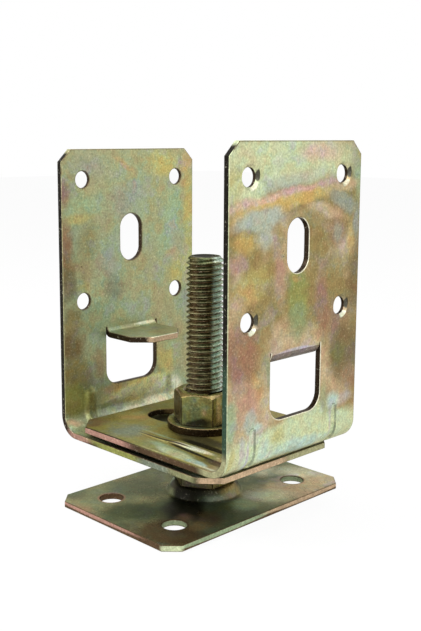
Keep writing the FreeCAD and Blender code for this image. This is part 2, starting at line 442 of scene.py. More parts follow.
class Shade(Enum):
    """The tints that yellow zinc plating takes on, from thin film to thick; the darkest and palest
    also serve as painted shade and painted highlights.
    """

    CREAM = Tint("e2dec4")
    PALE_GREEN = Tint("c6d0a8")
    ICE = Tint("b8d0c6")
    MIST = Tint("adb3a8")
    SILVER = Tint("98998a")
    LILAC = Tint("b9b0be")
    ROSE = Tint("d3a79c")
    BLUSH = Tint("b18778")
    COPPER = Tint("bb8a58")
    GOLD = Tint("cba860")
    STRAW = Tint("b9ac64")
    LEMON = Tint("e2d68c")
    LEAF = Tint("9aad88")
    SAGE = Tint("8a9a78")
    OLIVE = Tint("8e914e")
    MOSS = Tint("74723e")
    BRONZE = Tint("927e4e")
    UMBER = Tint("7c6644")
    RUST = Tint("986e5a")
    KHAKI = Tint("a4a27a")
    SAND = Tint("c0a585")
    BRASS = Tint("87803c")
    SEDGE = Tint("858660")
    FERN = Tint("9ba583")
    SLATE = Tint("78816f")
    FIR = Tint("59644a")
    PINE = Tint("414c2e")
    IRON = Tint("3d3828")
    BROWN = Tint("56412c")
    COFFEE = Tint("2c2014")
    SOOT = Tint("17140f")
    TEAL = Tint("35503f")


@dataclass(frozen=True)
class Cloud:
    """A soft-edged area of another tint: a tint of the plating itself, or painted light or shade.

    Attributes:
        shade: Its colour.
        centre: Where it is.
        reach: How far it goes along each axis.
        strength: How much of it shows.
        core: Share of the reach over which it is full.
        turn: Degrees that it is turned about each axis.
        crisp: Whether its outline is plain instead of wavering.
    """

    shade: Shade
    centre: Spot
    reach: Spot
    strength: float = 0.9
    core: float = 0.3
    turn: Spot = (0.0, 0.0, 0.0)
    crisp: bool = False


class Axis(Enum):
    """The axis that a flat side looks along."""

    X = 0
    Z = 2


@dataclass(frozen=True)
class Side:
    """A flat side of the part that clouds lie on.

    Attributes:
        axis: The axis that it looks along.
        level: Its place on that axis.
        deep: How far a cloud on it reaches along that axis.
    """

    axis: Axis
    level: float
    deep: float

    def cloud(self, shade: Shade, first: float, second: float, wide: float, tall: float,
              strength: float = 0.9, core: float = 0.3, turn: float = 0.0,
              crisp: bool = False) -> Cloud:
        """Lay a cloud on the side.

        Args:
            shade: Its colour.
            first: Its centre along the first of the other two axes.
            second: Its centre along the second.
            wide: How far it goes along the first.
            tall: How far it goes along the second.
            strength: How much of it shows.
            core: Share of the reach over which it is full.
            turn: Degrees that it is turned about the side's axis.
            crisp: Whether its outline is plain.

        Returns:
            The cloud.
        """
        centre, reach, turns = [first, second], [wide, tall], [0.0, 0.0, 0.0]
        centre.insert(self.axis.value, self.level)
        reach.insert(self.axis.value, self.deep)
        turns[self.axis.value] = turn
        return Cloud(shade, tuple(centre), tuple(reach), strength, core, tuple(turns), crisp)

    def clouds(self, *rows: tuple[object, ...]) -> tuple[Cloud, ...]:
        """Lay one cloud on the side for each row of values."""
        return tuple(self.cloud(*row) for row in rows)


class NodeDesk:
    """The node tree of a material or of the world, built up from small steps."""

    def __init__(self, owner: bpy.types.ID) -> None:
        """Empty the tree.

        Args:
            owner: The material or the world.
        """
        owner.use_nodes = True
        self.tree = owner.node_tree
        self.tree.nodes.clear()
        self.place = self.wavy = None

    def node(self, kind: str, **settings: object) -> bpy.types.Node:
        """Add a node.

        Args:
            kind: Blender's name of the node.
            **settings: Its settings.

        Returns:
            The new node.
        """
        made = self.tree.nodes.new(kind)
        for key, value in settings.items():
            setattr(made, key, value)
        return made

    def link(self, source: Socket, target: Socket) -> None:
        """Join two sockets."""
        self.tree.links.new(source, target)

    def pattern(self, scale: float, detail: float, rough: float = 0.6) -> bpy.types.Node:
        """Add a noise texture.

        Args:
            scale: Cells per metre.
            detail: Octaves of detail.
            rough: How strong the finer octaves are.

        Returns:
            The texture's node.
        """
        made = self.node("ShaderNodeTexNoise")
        made.inputs["Scale"].default_value = scale
        made.inputs["Detail"].default_value = detail
        made.inputs["Roughness"].default_value = rough
        self.link(self.place, made.inputs["Vector"])
        return made

    def noise(self, scale: float, detail: float, rough: float = 0.6) -> Socket:
        """Add a noise pattern and return its value."""
        return self.pattern(scale, detail, rough).outputs["Fac"]

    def stir(self, scale: float, reach: float) -> None:
        """Make the places of the clouds waver.

        Args:
            scale: Waves per metre.
            reach: How far a place moves, in millimetres.
        """
        centred = self.node("ShaderNodeVectorMath", operation="SUBTRACT")
        self.link(self.pattern(scale, 3.0).outputs["Color"], centred.inputs[0])
        centred.inputs[1].default_value = (0.5, 0.5, 0.5)
        moved = self.node("ShaderNodeVectorMath", operation="MULTIPLY_ADD")
        self.link(centred.outputs["Vector"], moved.inputs[0])
        moved.inputs[1].default_value = metres((reach, reach, reach))
        self.link(self.wavy, moved.inputs[2])
        self.wavy = moved.outputs["Vector"]

    def spread(self, value: Socket, low: float, high: float, start: float, end: float,
               soft: bool = False) -> Socket:
        """Map one range of values onto another.

        Args:
            value: The value to map.
            low: Where the old range starts.
            high: Where it ends.
            start: Where the new range starts.
            end: Where it ends.
            soft: Whether the ends are eased.

        Returns:
            The mapped value.
        """
        kind = "SMOOTHSTEP" if soft else "LINEAR"
        mapped = self.node("ShaderNodeMapRange", interpolation_type=kind)
        for key, number in (("From Min", low), ("From Max", high), ("To Min", start),
                            ("To Max", end)):
            mapped.inputs[key].default_value = number
        self.link(value, mapped.inputs["Value"])
        return mapped.outputs["Result"]

    def times(self, value: Socket, factor: object) -> Socket:
        """Multiply a value by a number or by another value.

        Args:
            value: The value.
            factor: A number or a socket.

        Returns:
            The product.
        """
        product = self.node("ShaderNodeMath", operation="MULTIPLY")
        self.link(value, product.inputs[0])
        if isinstance(factor, Socket):
            self.link(factor, product.inputs[1])
        else:
            product.inputs[1].default_value = factor
        return product.outputs[0]

    def mix(self, share: Socket, first: object, second: object,
            way: str = "MIX") -> Socket:
        """Blend two colours.

        Args:
            share: How much of the second shows.
            first: A colour or a socket.
            second: A colour or a socket.
            way: Blender's name of the blend.

        Returns:
            The blended colour.
        """
        blended = self.node("ShaderNodeMix", data_type="RGBA", blend_type=way)
        self.link(share, blended.inputs[0])
        for socket, colour in ((blended.inputs[6], first), (blended.inputs[7], second)):
            if isinstance(colour, Socket):
                self.link(colour, socket)
            else:
                socket.default_value = colour
        return blended.outputs[2]

    def cloud(self, under: object, area: Cloud) -> Socket:
        """Lay a cloud of tint over a colour.

        Args:
            under: The colour below, or its socket.
            area: The cloud.

        Returns:
            The new colour.
        """
        inside = self.node("ShaderNodeMapping", vector_type="TEXTURE")
        inside.inputs["Location"].default_value = metres(area.centre)
        inside.inputs["Rotation"].default_value = [math.radians(angle) for angle in area.turn]
        inside.inputs["Scale"].default_value = metres(area.reach)
        self.link(self.place if area.crisp else self.wavy, inside.inputs["Vector"])
        far = self.node("ShaderNodeVectorMath", operation="LENGTH")
        self.link(inside.outputs["Vector"], far.inputs[0])
        share = self.spread(far.outputs["Value"], area.core, 1.0, area.strength, 0.0, soft=True)
        return self.mix(share, under, area.shade.value.linear())

    def skin(self) -> tuple[Socket, ...]:
        """Read what was painted on the faces.

        Returns:
            The shares of cut edge, of rim and of the painted highlight on lips and countersinks.
        """
        paint = self.node("ShaderNodeAttribute", attribute_name="skin")
        parts = self.node("ShaderNodeSeparateColor")
        self.link(paint.outputs["Color"], parts.inputs[0])
        return parts.outputs[0], parts.outputs[1], parts.outputs[2]

    def find_place(self) -> None:
        """Read the place on the object, for the patterns and the clouds."""
        self.place = self.wavy = self.node("ShaderNodeTexCoord").outputs["Object"]

    def seen(self, *kinds: str) -> Socket:
        """Tell whether a ray is of one of some kinds.

        Args:
            *kinds: Blender's names of the kinds.

        Returns:
            One for a ray of such a kind, zero for another.
        """
        rays = self.node("ShaderNodeLightPath")
        found = rays.outputs[kinds[0]]
        for kind in kinds[1:]:
            either = self.node("ShaderNodeMath", operation="MAXIMUM")
            self.link(found, either.inputs[0])
            self.link(rays.outputs[kind], either.inputs[1])
            found = either.outputs[0]
        return found

    def show_either(self, share: Socket, first: bpy.types.Node, second: bpy.types.Node,
                    output: str) -> None:
        """Mix two shaders and put out the result.

        Args:
            share: How much of the second shows.
            first: A shader.
            second: A shader.
            output: Blender's name of the output node.
        """
        either = self.node("ShaderNodeMixShader")
        self.link(share, either.inputs[0])
        self.link(first.outputs[0], either.inputs[1])
        self.link(second.outputs[0], either.inputs[2])
        self.link(either.outputs[0], self.node(output).inputs["Surface"])


@dataclass(frozen=True)
class ZincPlating:
    """Yellow-passivated zinc: a thin, slightly rainbow-coloured skin on steel.

    Attributes:
        name: Name of the finish.
        main: The tint that covers most of the piece.
        second: The tint that drifts through it.
        clouds: Larger areas of other tints, some of them painted light and shade.
        edge: The tint of sheared and drilled edges.
        edge_clouds: Areas of other tints on those edges, some of them painted light and shade.
        rim: The tint of the rounded rims.
        rim_clouds: Areas of other tints on the rims, some of them painted light and shade.
        rim_share: How much of the rim's tint shows.
        lip_highlight: The tint of the painted highlight on the countersinks and on the lips that
            are bright.
        lip_highlight_share: How much of that painted highlight shows.
        sheen: The tint of what it reflects at a low angle.
        rainbow: How strongly the interference colours show.
        grain: How strongly the fine grain of the plating shows.
        sparkle: How strongly the bright specks show.
        metallic: Share of metal in the surface.
        rough: Mean roughness.
        bump: Height of the grain, in millimetres.
        gain: How much lighter than its tints the whole finish is: painted light over the whole
            piece above 1, painted shade below 1.
        streaks: How strongly fine khaki lines show round the axis.
    """

    name: str
    main: Shade
    second: Shade
    clouds: tuple[Cloud, ...] = ()
    edge: Shade = Shade.COFFEE
    edge_clouds: tuple[Cloud, ...] = ()
    rim: Shade = Shade.BROWN
    rim_clouds: tuple[Cloud, ...] = ()
    rim_share: float = 0.7
    lip_highlight: Shade = Shade.CREAM
    lip_highlight_share: float = 0.85
    rainbow: float = 0.22
    grain: float = 0.26
    sparkle: float = 0.25
    metallic: float = 0.6
    rough: float = 0.36
    bump: float = 0.02
    gain: float = 1.0
    streaks: float = 0.0
    sheen: tuple[float, ...] = (0.45, 0.43, 0.34, 1.0)

    def material(self) -> bpy.types.Material:
        """Build the finish.

        Returns:
            The material.
        """
        material = bpy.data.materials.new(self.name)
        desk = NodeDesk(material)
        desk.find_place()
        desk.stir(scale=50.0, reach=9.0)
        desk.stir(scale=260.0, reach=2.0)
        cut, rim, lip_highlight = desk.skin()
        drift = desk.spread(desk.noise(45.0, 3.0), 0.38, 0.62, 0.0, 1.0, soft=True)
        colour = desk.mix(drift, self.main.value.linear(), self.second.value.linear())
        for area in self.clouds:
            colour = desk.cloud(colour, area)
        colour = self.interference(desk, colour)
        edge, border = self.edge.value.linear(), self.rim.value.linear()
        for area in self.edge_clouds:
            edge = desk.cloud(edge, area)
        for area in self.rim_clouds:
            border = desk.cloud(border, area)
        colour = desk.mix(cut, colour, edge)
        colour = desk.mix(desk.times(rim, self.rim_share), colour, border)
        # Painted highlight on the bright lips and, faintly, in the countersinks.
        colour = desk.mix(desk.times(lip_highlight, self.lip_highlight_share), colour, self.lip_highlight.value.linear())
        colour = self.fine_grain(desk, colour)
        shader = desk.node("ShaderNodeBsdfPrincipled")
        shader.inputs["Metallic"].default_value = self.metallic
        shader.inputs["Specular IOR Level"].default_value = 0.5
        shader.inputs["Specular Tint"].default_value = self.sheen
        desk.link(colour, shader.inputs["Base Color"])
        patchy = desk.noise(120.0, 4.0)
        rough = desk.spread(patchy, 0.3, 0.7, self.rough - 0.1, self.rough + 0.1)
        desk.link(rough, shader.inputs["Roughness"])
        desk.link(self.relief(desk), shader.inputs["Normal"])
        output = desk.node("ShaderNodeOutputMaterial")
        desk.link(shader.outputs["BSDF"], output.inputs["Surface"])
        return material

    def interference(self, desk: NodeDesk, under: Socket) -> Socket:
        """Lay drifting pink, gold and green over the colour.

        Args:
            desk: The material's nodes.
            under: The colour below.

        Returns:
            The new colour.
        """
        film = desk.node("ShaderNodeValToRGB")
        stops = ((0.28, "9a6a80"), (0.38, "c08a5a"), (0.46, "b3a868"), (0.54, "7aa07c"),
                 (0.62, "8f96b0"), (0.70, "b07a84"))
        ramp = film.color_ramp
        while len(ramp.elements) < len(stops):
            ramp.elements.new(0.5)
        for element, (place, code) in zip(ramp.elements, stops):
            element.position = place
            element.color = Tint(code).linear()
        desk.link(desk.noise(130.0, 7.0, 0.68), film.inputs["Fac"])
        share = desk.spread(desk.noise(160.0, 4.0), 0.35, 0.65, 0.3 * self.rainbow,
                            1.7 * self.rainbow)
        return desk.mix(share, under, film.outputs["Color"], "COLOR")

    def fine_grain(self, desk: NodeDesk, under: Socket) -> Socket:
        """Darken and lighten the colour in fine grains, with a few bright specks.

        Args:
            desk: The material's nodes.
            under: The colour below.

        Returns:
            The new colour.
        """
        fine = desk.spread(desk.noise(1500.0, 3.0), 0.3, 0.7, self.gain * (1.0 - self.grain),
                           self.gain * (1.0 + self.grain))
        broad = desk.spread(desk.noise(420.0, 3.0), 0.3, 0.7, 1.0 - 0.5 * self.grain,
                            1.0 + 0.5 * self.grain)
        scaled = desk.node("ShaderNodeVectorMath", operation="SCALE")
        desk.link(under, scaled.inputs[0])
        desk.link(desk.times(fine, broad), scaled.inputs["Scale"])
        speck = desk.spread(desk.noise(1500.0, 2.0), 0.62, 0.72, 0.0, self.sparkle, soft=True)
        colour = desk.mix(speck, scaled.outputs["Vector"], Shade.CREAM.value.linear())
        if self.streaks:
            lines = desk.pattern(1800.0, 2.0)
            flat = desk.node("ShaderNodeMapping")
            flat.inputs["Scale"].default_value = (0.12, 0.12, 1.0)
            desk.link(desk.place, flat.inputs["Vector"])
            desk.link(flat.outputs["Vector"], lines.inputs["Vector"])
            share = desk.spread(lines.outputs["Fac"], 0.5, 0.72, 0.0, self.streaks, soft=True)
            colour = desk.mix(share, colour, Shade.KHAKI.value.linear())
        return colour

    def relief(self, desk: NodeDesk) -> Socket:
        """Roughen the surface with the plating's grain and the sheet's slight waves.

        Args:
            desk: The material's nodes.

        Returns:
            The bumped normal.
        """
        normal = None
        for scale, height, strength in ((450.0, 3.0 * self.bump, 0.3), (2200.0, self.bump, 0.35)):
            step = desk.node("ShaderNodeBump")
            step.inputs["Strength"].default_value = strength
            step.inputs["Distance"].default_value = height * MM
            desk.link(desk.noise(scale, 3.0), step.inputs["Height"])
            if normal is not None:
                desk.link(normal, step.inputs["Normal"])
            normal = step.outputs["Normal"]
        return normal


RIGHT_FACE = Side(Axis.X, 38, 7)
LEFT_FACE = Side(Axis.X, -36, 7)
LEG_TOP = Side(Axis.Z, 23.4, 3)
LEG_SIDE = Side(Axis.Z, 19, 4)
PLATE_TOP = Side(Axis.Z, 2, 3)

RIGHT_WALL = (
    *RIGHT_FACE.clouds(
        (Shade.PALE_GREEN, -4, 110, 39, 10, 0.9, 0.55),
        (Shade.STRAW, -22, 104, 10, 6, 0.45),
        (Shade.ROSE, 9, 112, 13, 4.6, 0.85, 0.25),
        (Shade.LEAF, 28, 103, 4, 8),
        (Shade.MIST, -6, 103.5, 24, 3.4, 0.6, 0.3, 7),
        (Shade.PALE_GREEN, -22, 102, 10, 5, 0.9, 0.5),
        (Shade.ROSE, -6, 99.3, 33, 2.3, 0.85, 0.3, 7),
        (Shade.GOLD, -4, 97.2, 32, 2.5, 0.85, 0.4, 8),
        (Shade.MIST, -16, 93.2, 14, 3.6, 0.95, 0.4, 8),
        (Shade.MIST, -14, 89, 5, 6, 0.7, 0.3, -20),
        (Shade.SILVER, 20, 97, 9, 3.2, 0.95, 0.4, -14),
        (Shade.SILVER, 27, 91, 3.2, 8),
        (Shade.SAND, 12, 94.5, 11, 2.4, 0.9, 0.4, -8),
        (Shade.GOLD, 24, 87, 2.6, 8, 0.5),
        (Shade.RUST, 17, 88.5, 6, 6, 0.6, 0.5),
        (Shade.SILVER, 16.5, 88.5, 3.4, 5, 0.8),
        (Shade.GOLD, -21, 87.5, 8, 3.6, 0.6),
        (Shade.BLUSH, -25, 83, 5.5, 4, 0.85),
        (Shade.STRAW, -20, 76, 9, 7.5, 0.55, 0.4),
        (Shade.BLUSH, -9, 79, 3.6, 14, 0.8, 0.3, 5),
        (Shade.BRONZE, 16, 77, 8, 8, 0.6, 0.4),
        (Shade.UMBER, 27, 74, 6, 18),
        (Shade.OLIVE, 0.5, 70, 6.4, 15, 0.95, 0.5),
        (Shade.COPPER, 0, 76.8, 3, 1.6, 0.5),
        (Shade.SAGE, 0.5, 63, 6.4, 8, 0.5, 0.4),
        (Shade.RUST, 11, 67, 4.6, 14, 0.95, 0.35, -3),
        (Shade.RUST, 18, 62, 9, 8, 0.7, 0.35),
        (Shade.UMBER, 23, 51, 11, 12, 0.95, 0.45),
        (Shade.MOSS, 20, 50, 6.5, 4.3, 0.7),
        (Shade.RUST, 27, 42, 6, 5, 0.7),
        (Shade.RUST, -23, 56, 10, 13, 0.9, 0.45),
        (Shade.COPPER, -17, 47, 2.4, 5, 0.6),
        (Shade.BLUSH, -22, 40, 9, 5, 0.6),
        (Shade.SAGE, -12, 50, 2.2, 7, 0.6),
    ),
    # The pale green and ice bands low on the wall and over the bend are painted glossy highlights.
    Cloud(Shade.PALE_GREEN, (38, 0, 26), (12, 42, 9.5), 0.95, 0.7),
    Cloud(Shade.PALE_GREEN, (38, 4, 33.5), (7, 16, 4), 0.8, 0.5, (8, 0, 0)),
    Cloud(Shade.STRAW, (38, -8, 30), (7, 4, 4), 0.6),
    Cloud(Shade.ICE, (38, 2, 25), (10, 16, 3.2), 0.9, 0.4, (6, 0, 0)),
    *RIGHT_FACE.clouds(
        # The ice and lilac spots near the beads are painted glossy highlights.
        (Shade.ICE, -14, 28, 3, 6, 0.85, 0.3, 10),
        (Shade.ICE, -18, 35.5, 5, 2, 0.8),
        (Shade.LILAC, -22.5, 30, 1.5, 5, 0.7),
        (Shade.STRAW, -26.5, 27, 2, 6, 0.6),
        (Shade.KHAKI, 13, 38, 2.6, 8),
        (Shade.LILAC, 23, 36, 6, 3, 0.5),
        (Shade.ICE, 18, 36.5, 4.5, 4, 0.85, 0.2),
        (Shade.BLUSH, -23, 45, 8, 4, 0.8, 0.4),
        (Shade.MIST, -20, 38, 4, 4, 0.9, 0.4),
        (Shade.LEAF, -27, 38, 3, 10),
        (Shade.COPPER, -23, 73, 7, 5, 0.5),
        (Shade.SAND, 21, 101.5, 9, 2.4, 0.85, 0.4, 7),
        (Shade.STRAW, -27, 104, 5, 7, 0.45),
        # Round the grooves, here and just below: ice and pale green are painted light on their
        # shaded floors, and thin lilac lines are painted shading along their left walls.
        (Shade.ICE, -20, 27.5, 3, 6, 0.6, 0.4),
        (Shade.LILAC, -20.4, 26, 0.8, 7, 0.75, 0.5, 0, True),
        (Shade.LILAC, 16.9, 29, 0.8, 6, 0.5, 0.5, 0, True),
    ),
    Cloud(Shade.PALE_GREEN, (37, -18.5, 27), (3, 1.5, 11), 0.8, 0.7, crisp=True),
    Cloud(Shade.PALE_GREEN, (37, 18.5, 27), (3, 1.5, 11), 0.6, 0.7, crisp=True),
    Cloud(Shade.LILAC, (36.5, 0, 53.6), (5, 12.5, 2.6), 0.9, 0.75, crisp=True),
)

# In each countersink: a painted shade mark at one side and a painted highlight crescent low down.
SINK_SHADE_AND_HIGHLIGHT = tuple(
    mark for y in (-20.5, 20.5) for z in (65.55, 105.55) for mark in (
        Cloud(Shade.SOOT, (37.6, y + 3.1, z + 0.5), (2, 0.75, 2.2), 1.0, 0.6, crisp=True),
        Cloud(Shade.CREAM, (37.6, y + 1.5, z - 2.8), (2, 2.0, 0.8), 1.0, 0.6, (30, 0, 0), True),
    )
)

UPPER_LEG = (
    Cloud(Shade.BRASS, (0, 0, 20), (41, 60, 14), 0.9, 0.75),
    # Painted shade under the front of the leg, in the gap over the lower leg, up the lower half of
    # its front edge.
    Cloud(Shade.SOOT, (-5, -29, 20.4), (37, 5, 2), 0.95, 0.85, crisp=True),
    *LEG_TOP.clouds(
        (Shade.UMBER, -28, -25, 7, 7, 1, 0.6),
        (Shade.STRAW, -27, -9, 9, 8, 0.6, 0.3, 30),
        (Shade.COPPER, -22, -10, 8, 4, 0.5, 0.3, 45),
        (Shade.SLATE, -14, -21, 9, 8, 0.95, 0.4, 45),
        # Painted shade behind the bead, where the washer and the nut shade the leg.
        (Shade.IRON, 9, -11, 14, 4, 0.8, 0.6, 0, True),
        (Shade.SOOT, 17, -15, 17, 2.4, 0.95, 0.55, -2, True),
    ),
    # Along the bead: a green streak behind it, a painted highlight on its crest, and painted shade
    # and light lines down its front flank.
    Cloud(Shade.LEAF, (0, -17, 24), (15, 0.9, 3), 0.9, 0.4, (0, 0, -2), True),
    Cloud(Shade.CREAM, (14, -19.5, 24.6), (12, 1.2, 3), 1, 0.6, crisp=True),
    Cloud(Shade.COFFEE, (2, -19.4, 23.8), (14, 0.5, 3), 0.9, 0.7, (0, 0, -1), True),
    Cloud(Shade.STRAW, (2, -20.2, 23.8), (14, 0.5, 3), 0.9, 0.5, (0, 0, -2), True),
    Cloud(Shade.SOOT, (18, -21.3, 23.8), (17, 0.7, 3), 0.95, 0.6, (0, 0, -4), True),
    *LEG_TOP.clouds(
        (Shade.OLIVE, 4, -26, 12, 2.6, 0.9, 0.5),
        (Shade.LEAF, 10, -23.8, 16, 2.6, 0.95, 0.4, -6, True),
        (Shade.PALE_GREEN, 14, -25.6, 11, 2.8, 1, 0.6, -6, True),
        (Shade.ICE, 23.5, -26.6, 5.5, 2, 0.95, 0.6, -4, True),
    ),
    Cloud(Shade.BROWN, (29, -23, 23.4), (8, 2.2, 5), 0.9, 0.4, (0, 0, -4), True),
    # A painted highlight near the inner bend, and a straw painted highlight along the front edge of
    # the leg's top.
    Cloud(Shade.CREAM, (28, -27.6, 23.4), (9, 0.8, 4), 0.95, 0.4, crisp=True),
    Cloud(Shade.STRAW, (14, -28.1, 23.5), (18, 0.5, 1.5), 0.9, 0.6, crisp=True),
    Cloud(Shade.SOOT, (-14, -28.7, 23.5), (20, 0.35, 1.5), 0.8, 0.7, crisp=True),
    # Painted shade in the corner of the inner bend.
    Cloud(Shade.COFFEE, (33.5, -24, 26), (4, 5, 4.5), 0.9, 0.4),
)

RIGHT_EDGES = (
    Cloud(Shade.UMBER, (37, 29, 75), (6, 3, 60), 0.9, 0.7, crisp=True),
    # The front edge is painted black as shade, teal low down, and the top edge pale green as a
    # painted highlight.
    Cloud(Shade.SOOT, (37, -29, 80), (6, 4, 52), 1, 0.8, crisp=True),
    Cloud(Shade.TEAL, (37, -29, 40), (6, 4, 17), 0.8, 0.5),
    Cloud(Shade.PALE_GREEN, (37, 0, 116), (6, 42, 3), 0.9, 0.7, crisp=True),
    Cloud(Shade.BLUSH, (-24, -29, 22.3), (26, 4, 3), 0.9, 0.6, crisp=True),
    Cloud(Shade.BROWN, (13, -29, 22.3), (20, 4, 3), 0.9, 0.4, crisp=True),
    Cloud(Shade.KHAKI, (34, -29, 24), (9, 4, 7), 0.95, 0.5, crisp=True),
    Cloud(Shade.BLUSH, (-32, 0, 22.3), (3, 32, 3), 0.8, 0.6, crisp=True),
    Cloud(Shade.UMBER, (-16, 5, 22.6), (10, 3.5, 1.6), 0.9, 0.6, crisp=True),
)

RIGHT_RIMS = (
    # The far rim is painted dark as shade, and the near rim pale green as a painted highlight
    # beside the black front edge.
    Cloud(Shade.SOOT, (38, 29.5, 82), (2, 2, 40), 1, 0.8, crisp=True),
    Cloud(Shade.PALE_GREEN, (38, -29, 70), (2, 3, 60), 0.9, 0.8, crisp=True),
    Cloud(Shade.COFFEE, (-2, -29, 23.3), (34, 3, 2), 0.9, 0.8, crisp=True),
    # Slate and brown on the groove walls: a painted shade outline, darker on each groove's left
    # side.
    Cloud(Shade.SLATE, (38, -18.5, 28), (8, 4, 11), 0.9, 0.8, crisp=True),
    Cloud(Shade.SLATE, (38, 18.5, 28), (8, 4, 11), 0.9, 0.8, crisp=True),
    Cloud(Shade.BROWN, (38, -20.2, 28), (8, 1.3, 12), 0.8, 0.7, crisp=True),
    Cloud(Shade.BROWN, (38, 16.8, 28), (8, 1.3, 12), 0.8, 0.7, crisp=True),
)

LEFT_WALL = (
    *LEFT_FACE.clouds(
        (Shade.SILVER, -19, 107, 13.8, 7.7, 0.4),
        (Shade.STRAW, 16, 108, 9, 7),
        (Shade.COPPER, 26, 107, 5.6, 6),
        (Shade.COPPER, -3, 106, 6, 2, 0.8, 0.2, -20),
        (Shade.COPPER, 25, 98, 4, 3, 0.5),
        (Shade.RUST, -27, 98, 2.6, 7),
        (Shade.STRAW, -22, 89, 7, 3, 0.6),
        (Shade.LEAF, -21, 94, 8, 5),
        (Shade.SILVER, -4, 94, 8, 9),
        (Shade.LEAF, 19, 90, 9.7, 12.7, 0.95),
        (Shade.LEAF, 15, 79, 6.2, 8.5, 0.8),
        (Shade.STRAW, 27, 84, 4, 29, 0.85),
        (Shade.COPPER, 18, 75, 5, 2, 0.5, 0.2, 15),
        (Shade.BRONZE, -18, 81, 6.5, 9, 0.6),
        (Shade.RUST, -28, 80, 4.5, 12),
        (Shade.UMBER, -28, 70, 4, 10, 0.7),
        (Shade.SILVER, -10, 74, 7, 7, 0.85),
        (Shade.SLATE, -8, 66, 7, 7, 0.7),
        (Shade.STRAW, -22, 67, 5, 3, 0.5),
        (Shade.SAGE, -14, 59, 12, 4, 0.7),
        (Shade.STRAW, 22, 69, 7.9, 8.7, 0.85),
        (Shade.BRONZE, -25, 55, 5, 8, 0.8, 0.35),
        (Shade.UMBER, -25, 47, 7, 7, 0.95, 0.4),
        (Shade.BRONZE, -24, 38, 8, 7, 0.95, 0.5),
        (Shade.OLIVE, -24, 30, 9, 7, 0.95, 0.5),
        (Shade.RUST, -14, 40, 3, 8, 0.5),
        # The lemon band is painted reflected light low on the wall, which the leg and the far wall
        # shade from the lamps.
        (Shade.LEMON, 2, 29, 18, 4.4, 0.9, 0.55, 6),
        (Shade.COPPER, -8, 31, 8, 2, 0.6, 0.3, 6),
        (Shade.OLIVE, -6, 26.4, 16, 1.4, 0.6, 0.3, 5),
        (Shade.STRAW, 16, 38, 7, 10, 0.8, 0.4),
        (Shade.LEAF, 17, 44, 6, 6, 0.7, 0.4),
    ),
    # Cream and sand are painted highlights on the inner bend and at its front corner; the two cream
    # clouds after them are painted reflected light low on the wall.
    Cloud(Shade.CREAM, (-34, 5, 22.5), (7, 24, 2), 0.8, 0.4, (3, 0, 0)),
    Cloud(Shade.SAND, (-34.5, -26, 22.6), (5, 4, 2), 0.9, 0.2),
    Cloud(Shade.CREAM, (-35, 14, 25), (8, 11, 5), 0.95, 0.6),
    Cloud(Shade.CREAM, (-36, 0, 28.5), (7, 9, 3), 0.6, 0.5, (6, 0, 0)),
    # Moss over the front bead is painted shade that dulls its highlight; cream at the top of the
    # tab's bend is a painted highlight.
    Cloud(Shade.MOSS, (-34.5, -18.5, 27), (4, 3.6, 12), 0.75, 0.5, crisp=True),
    Cloud(Shade.CREAM, (-35.6, 6, 51.7), (1.6, 6, 0.7), 0.9, 0.5, crisp=True),
    # Painted shade on the lower leg's top: where it shows through the upper leg's slot, and along
    # the front of the gap between the legs.
    Cloud(Shade.COFFEE, (-25.5, 2.5, 20), (8.5, 5, 1.6), 0.9, 0.5, crisp=True),
    Cloud(Shade.SOOT, (2, -29, 20), (36, 3.5, 1.6), 0.95, 0.5, crisp=True),
)

LEFT_EDGES = (
    Cloud(Shade.UMBER, (-37, 29, 70), (6, 3, 60), 0.9, 0.7, crisp=True),
    # The front edge is painted black as shade, and the top edge khaki as a painted highlight.
    Cloud(Shade.SOOT, (-37, -29, 76), (6, 4, 58), 1, 0.8, crisp=True),
    Cloud(Shade.KHAKI, (-37, 0, 112.5), (6, 42, 3), 0.9, 0.7, crisp=True),
    *LEG_SIDE.clouds(
        (Shade.BLUSH, -27, -29, 9, 4, 0.8, 0.4),
        (Shade.OLIVE, -10, -29, 17, 4, 0.9, 0.5),
        (Shade.SLATE, 8, -29, 11, 4, 0.9, 0.5),
        (Shade.SEDGE, 20, -29, 8, 4, 0.9, 0.5),
        (Shade.SAND, 28.5, -26, 4, 4, 0.9, 0.6),
        (Shade.SAND, 31, -10, 4, 19, 0.9, 0.6, 0, True),
        (Shade.KHAKI, 31, 14, 4, 12, 0.9, 0.6, 0, True),
    ),
    Cloud(Shade.SAND, (-18.5, 0, 49.7), (2.5, 12, 3), 0.9, 0.6, crisp=True),
)

LEFT_RIMS = (
    # Painted highlights: cream on the tab's end rim, and khaki along the wall's front rim beside
    # its black edge.
    Cloud(Shade.CREAM, (-18.6, 0, 50.6), (1.2, 9, 0.5), 1, 0.7, crisp=True),
    Cloud(Shade.KHAKI, (-36, -29, 70), (2, 3, 60), 0.9, 0.8),
    Cloud(Shade.BROWN, (-36, 0, 112), (3, 40, 2), 0.9, 0.8),
)

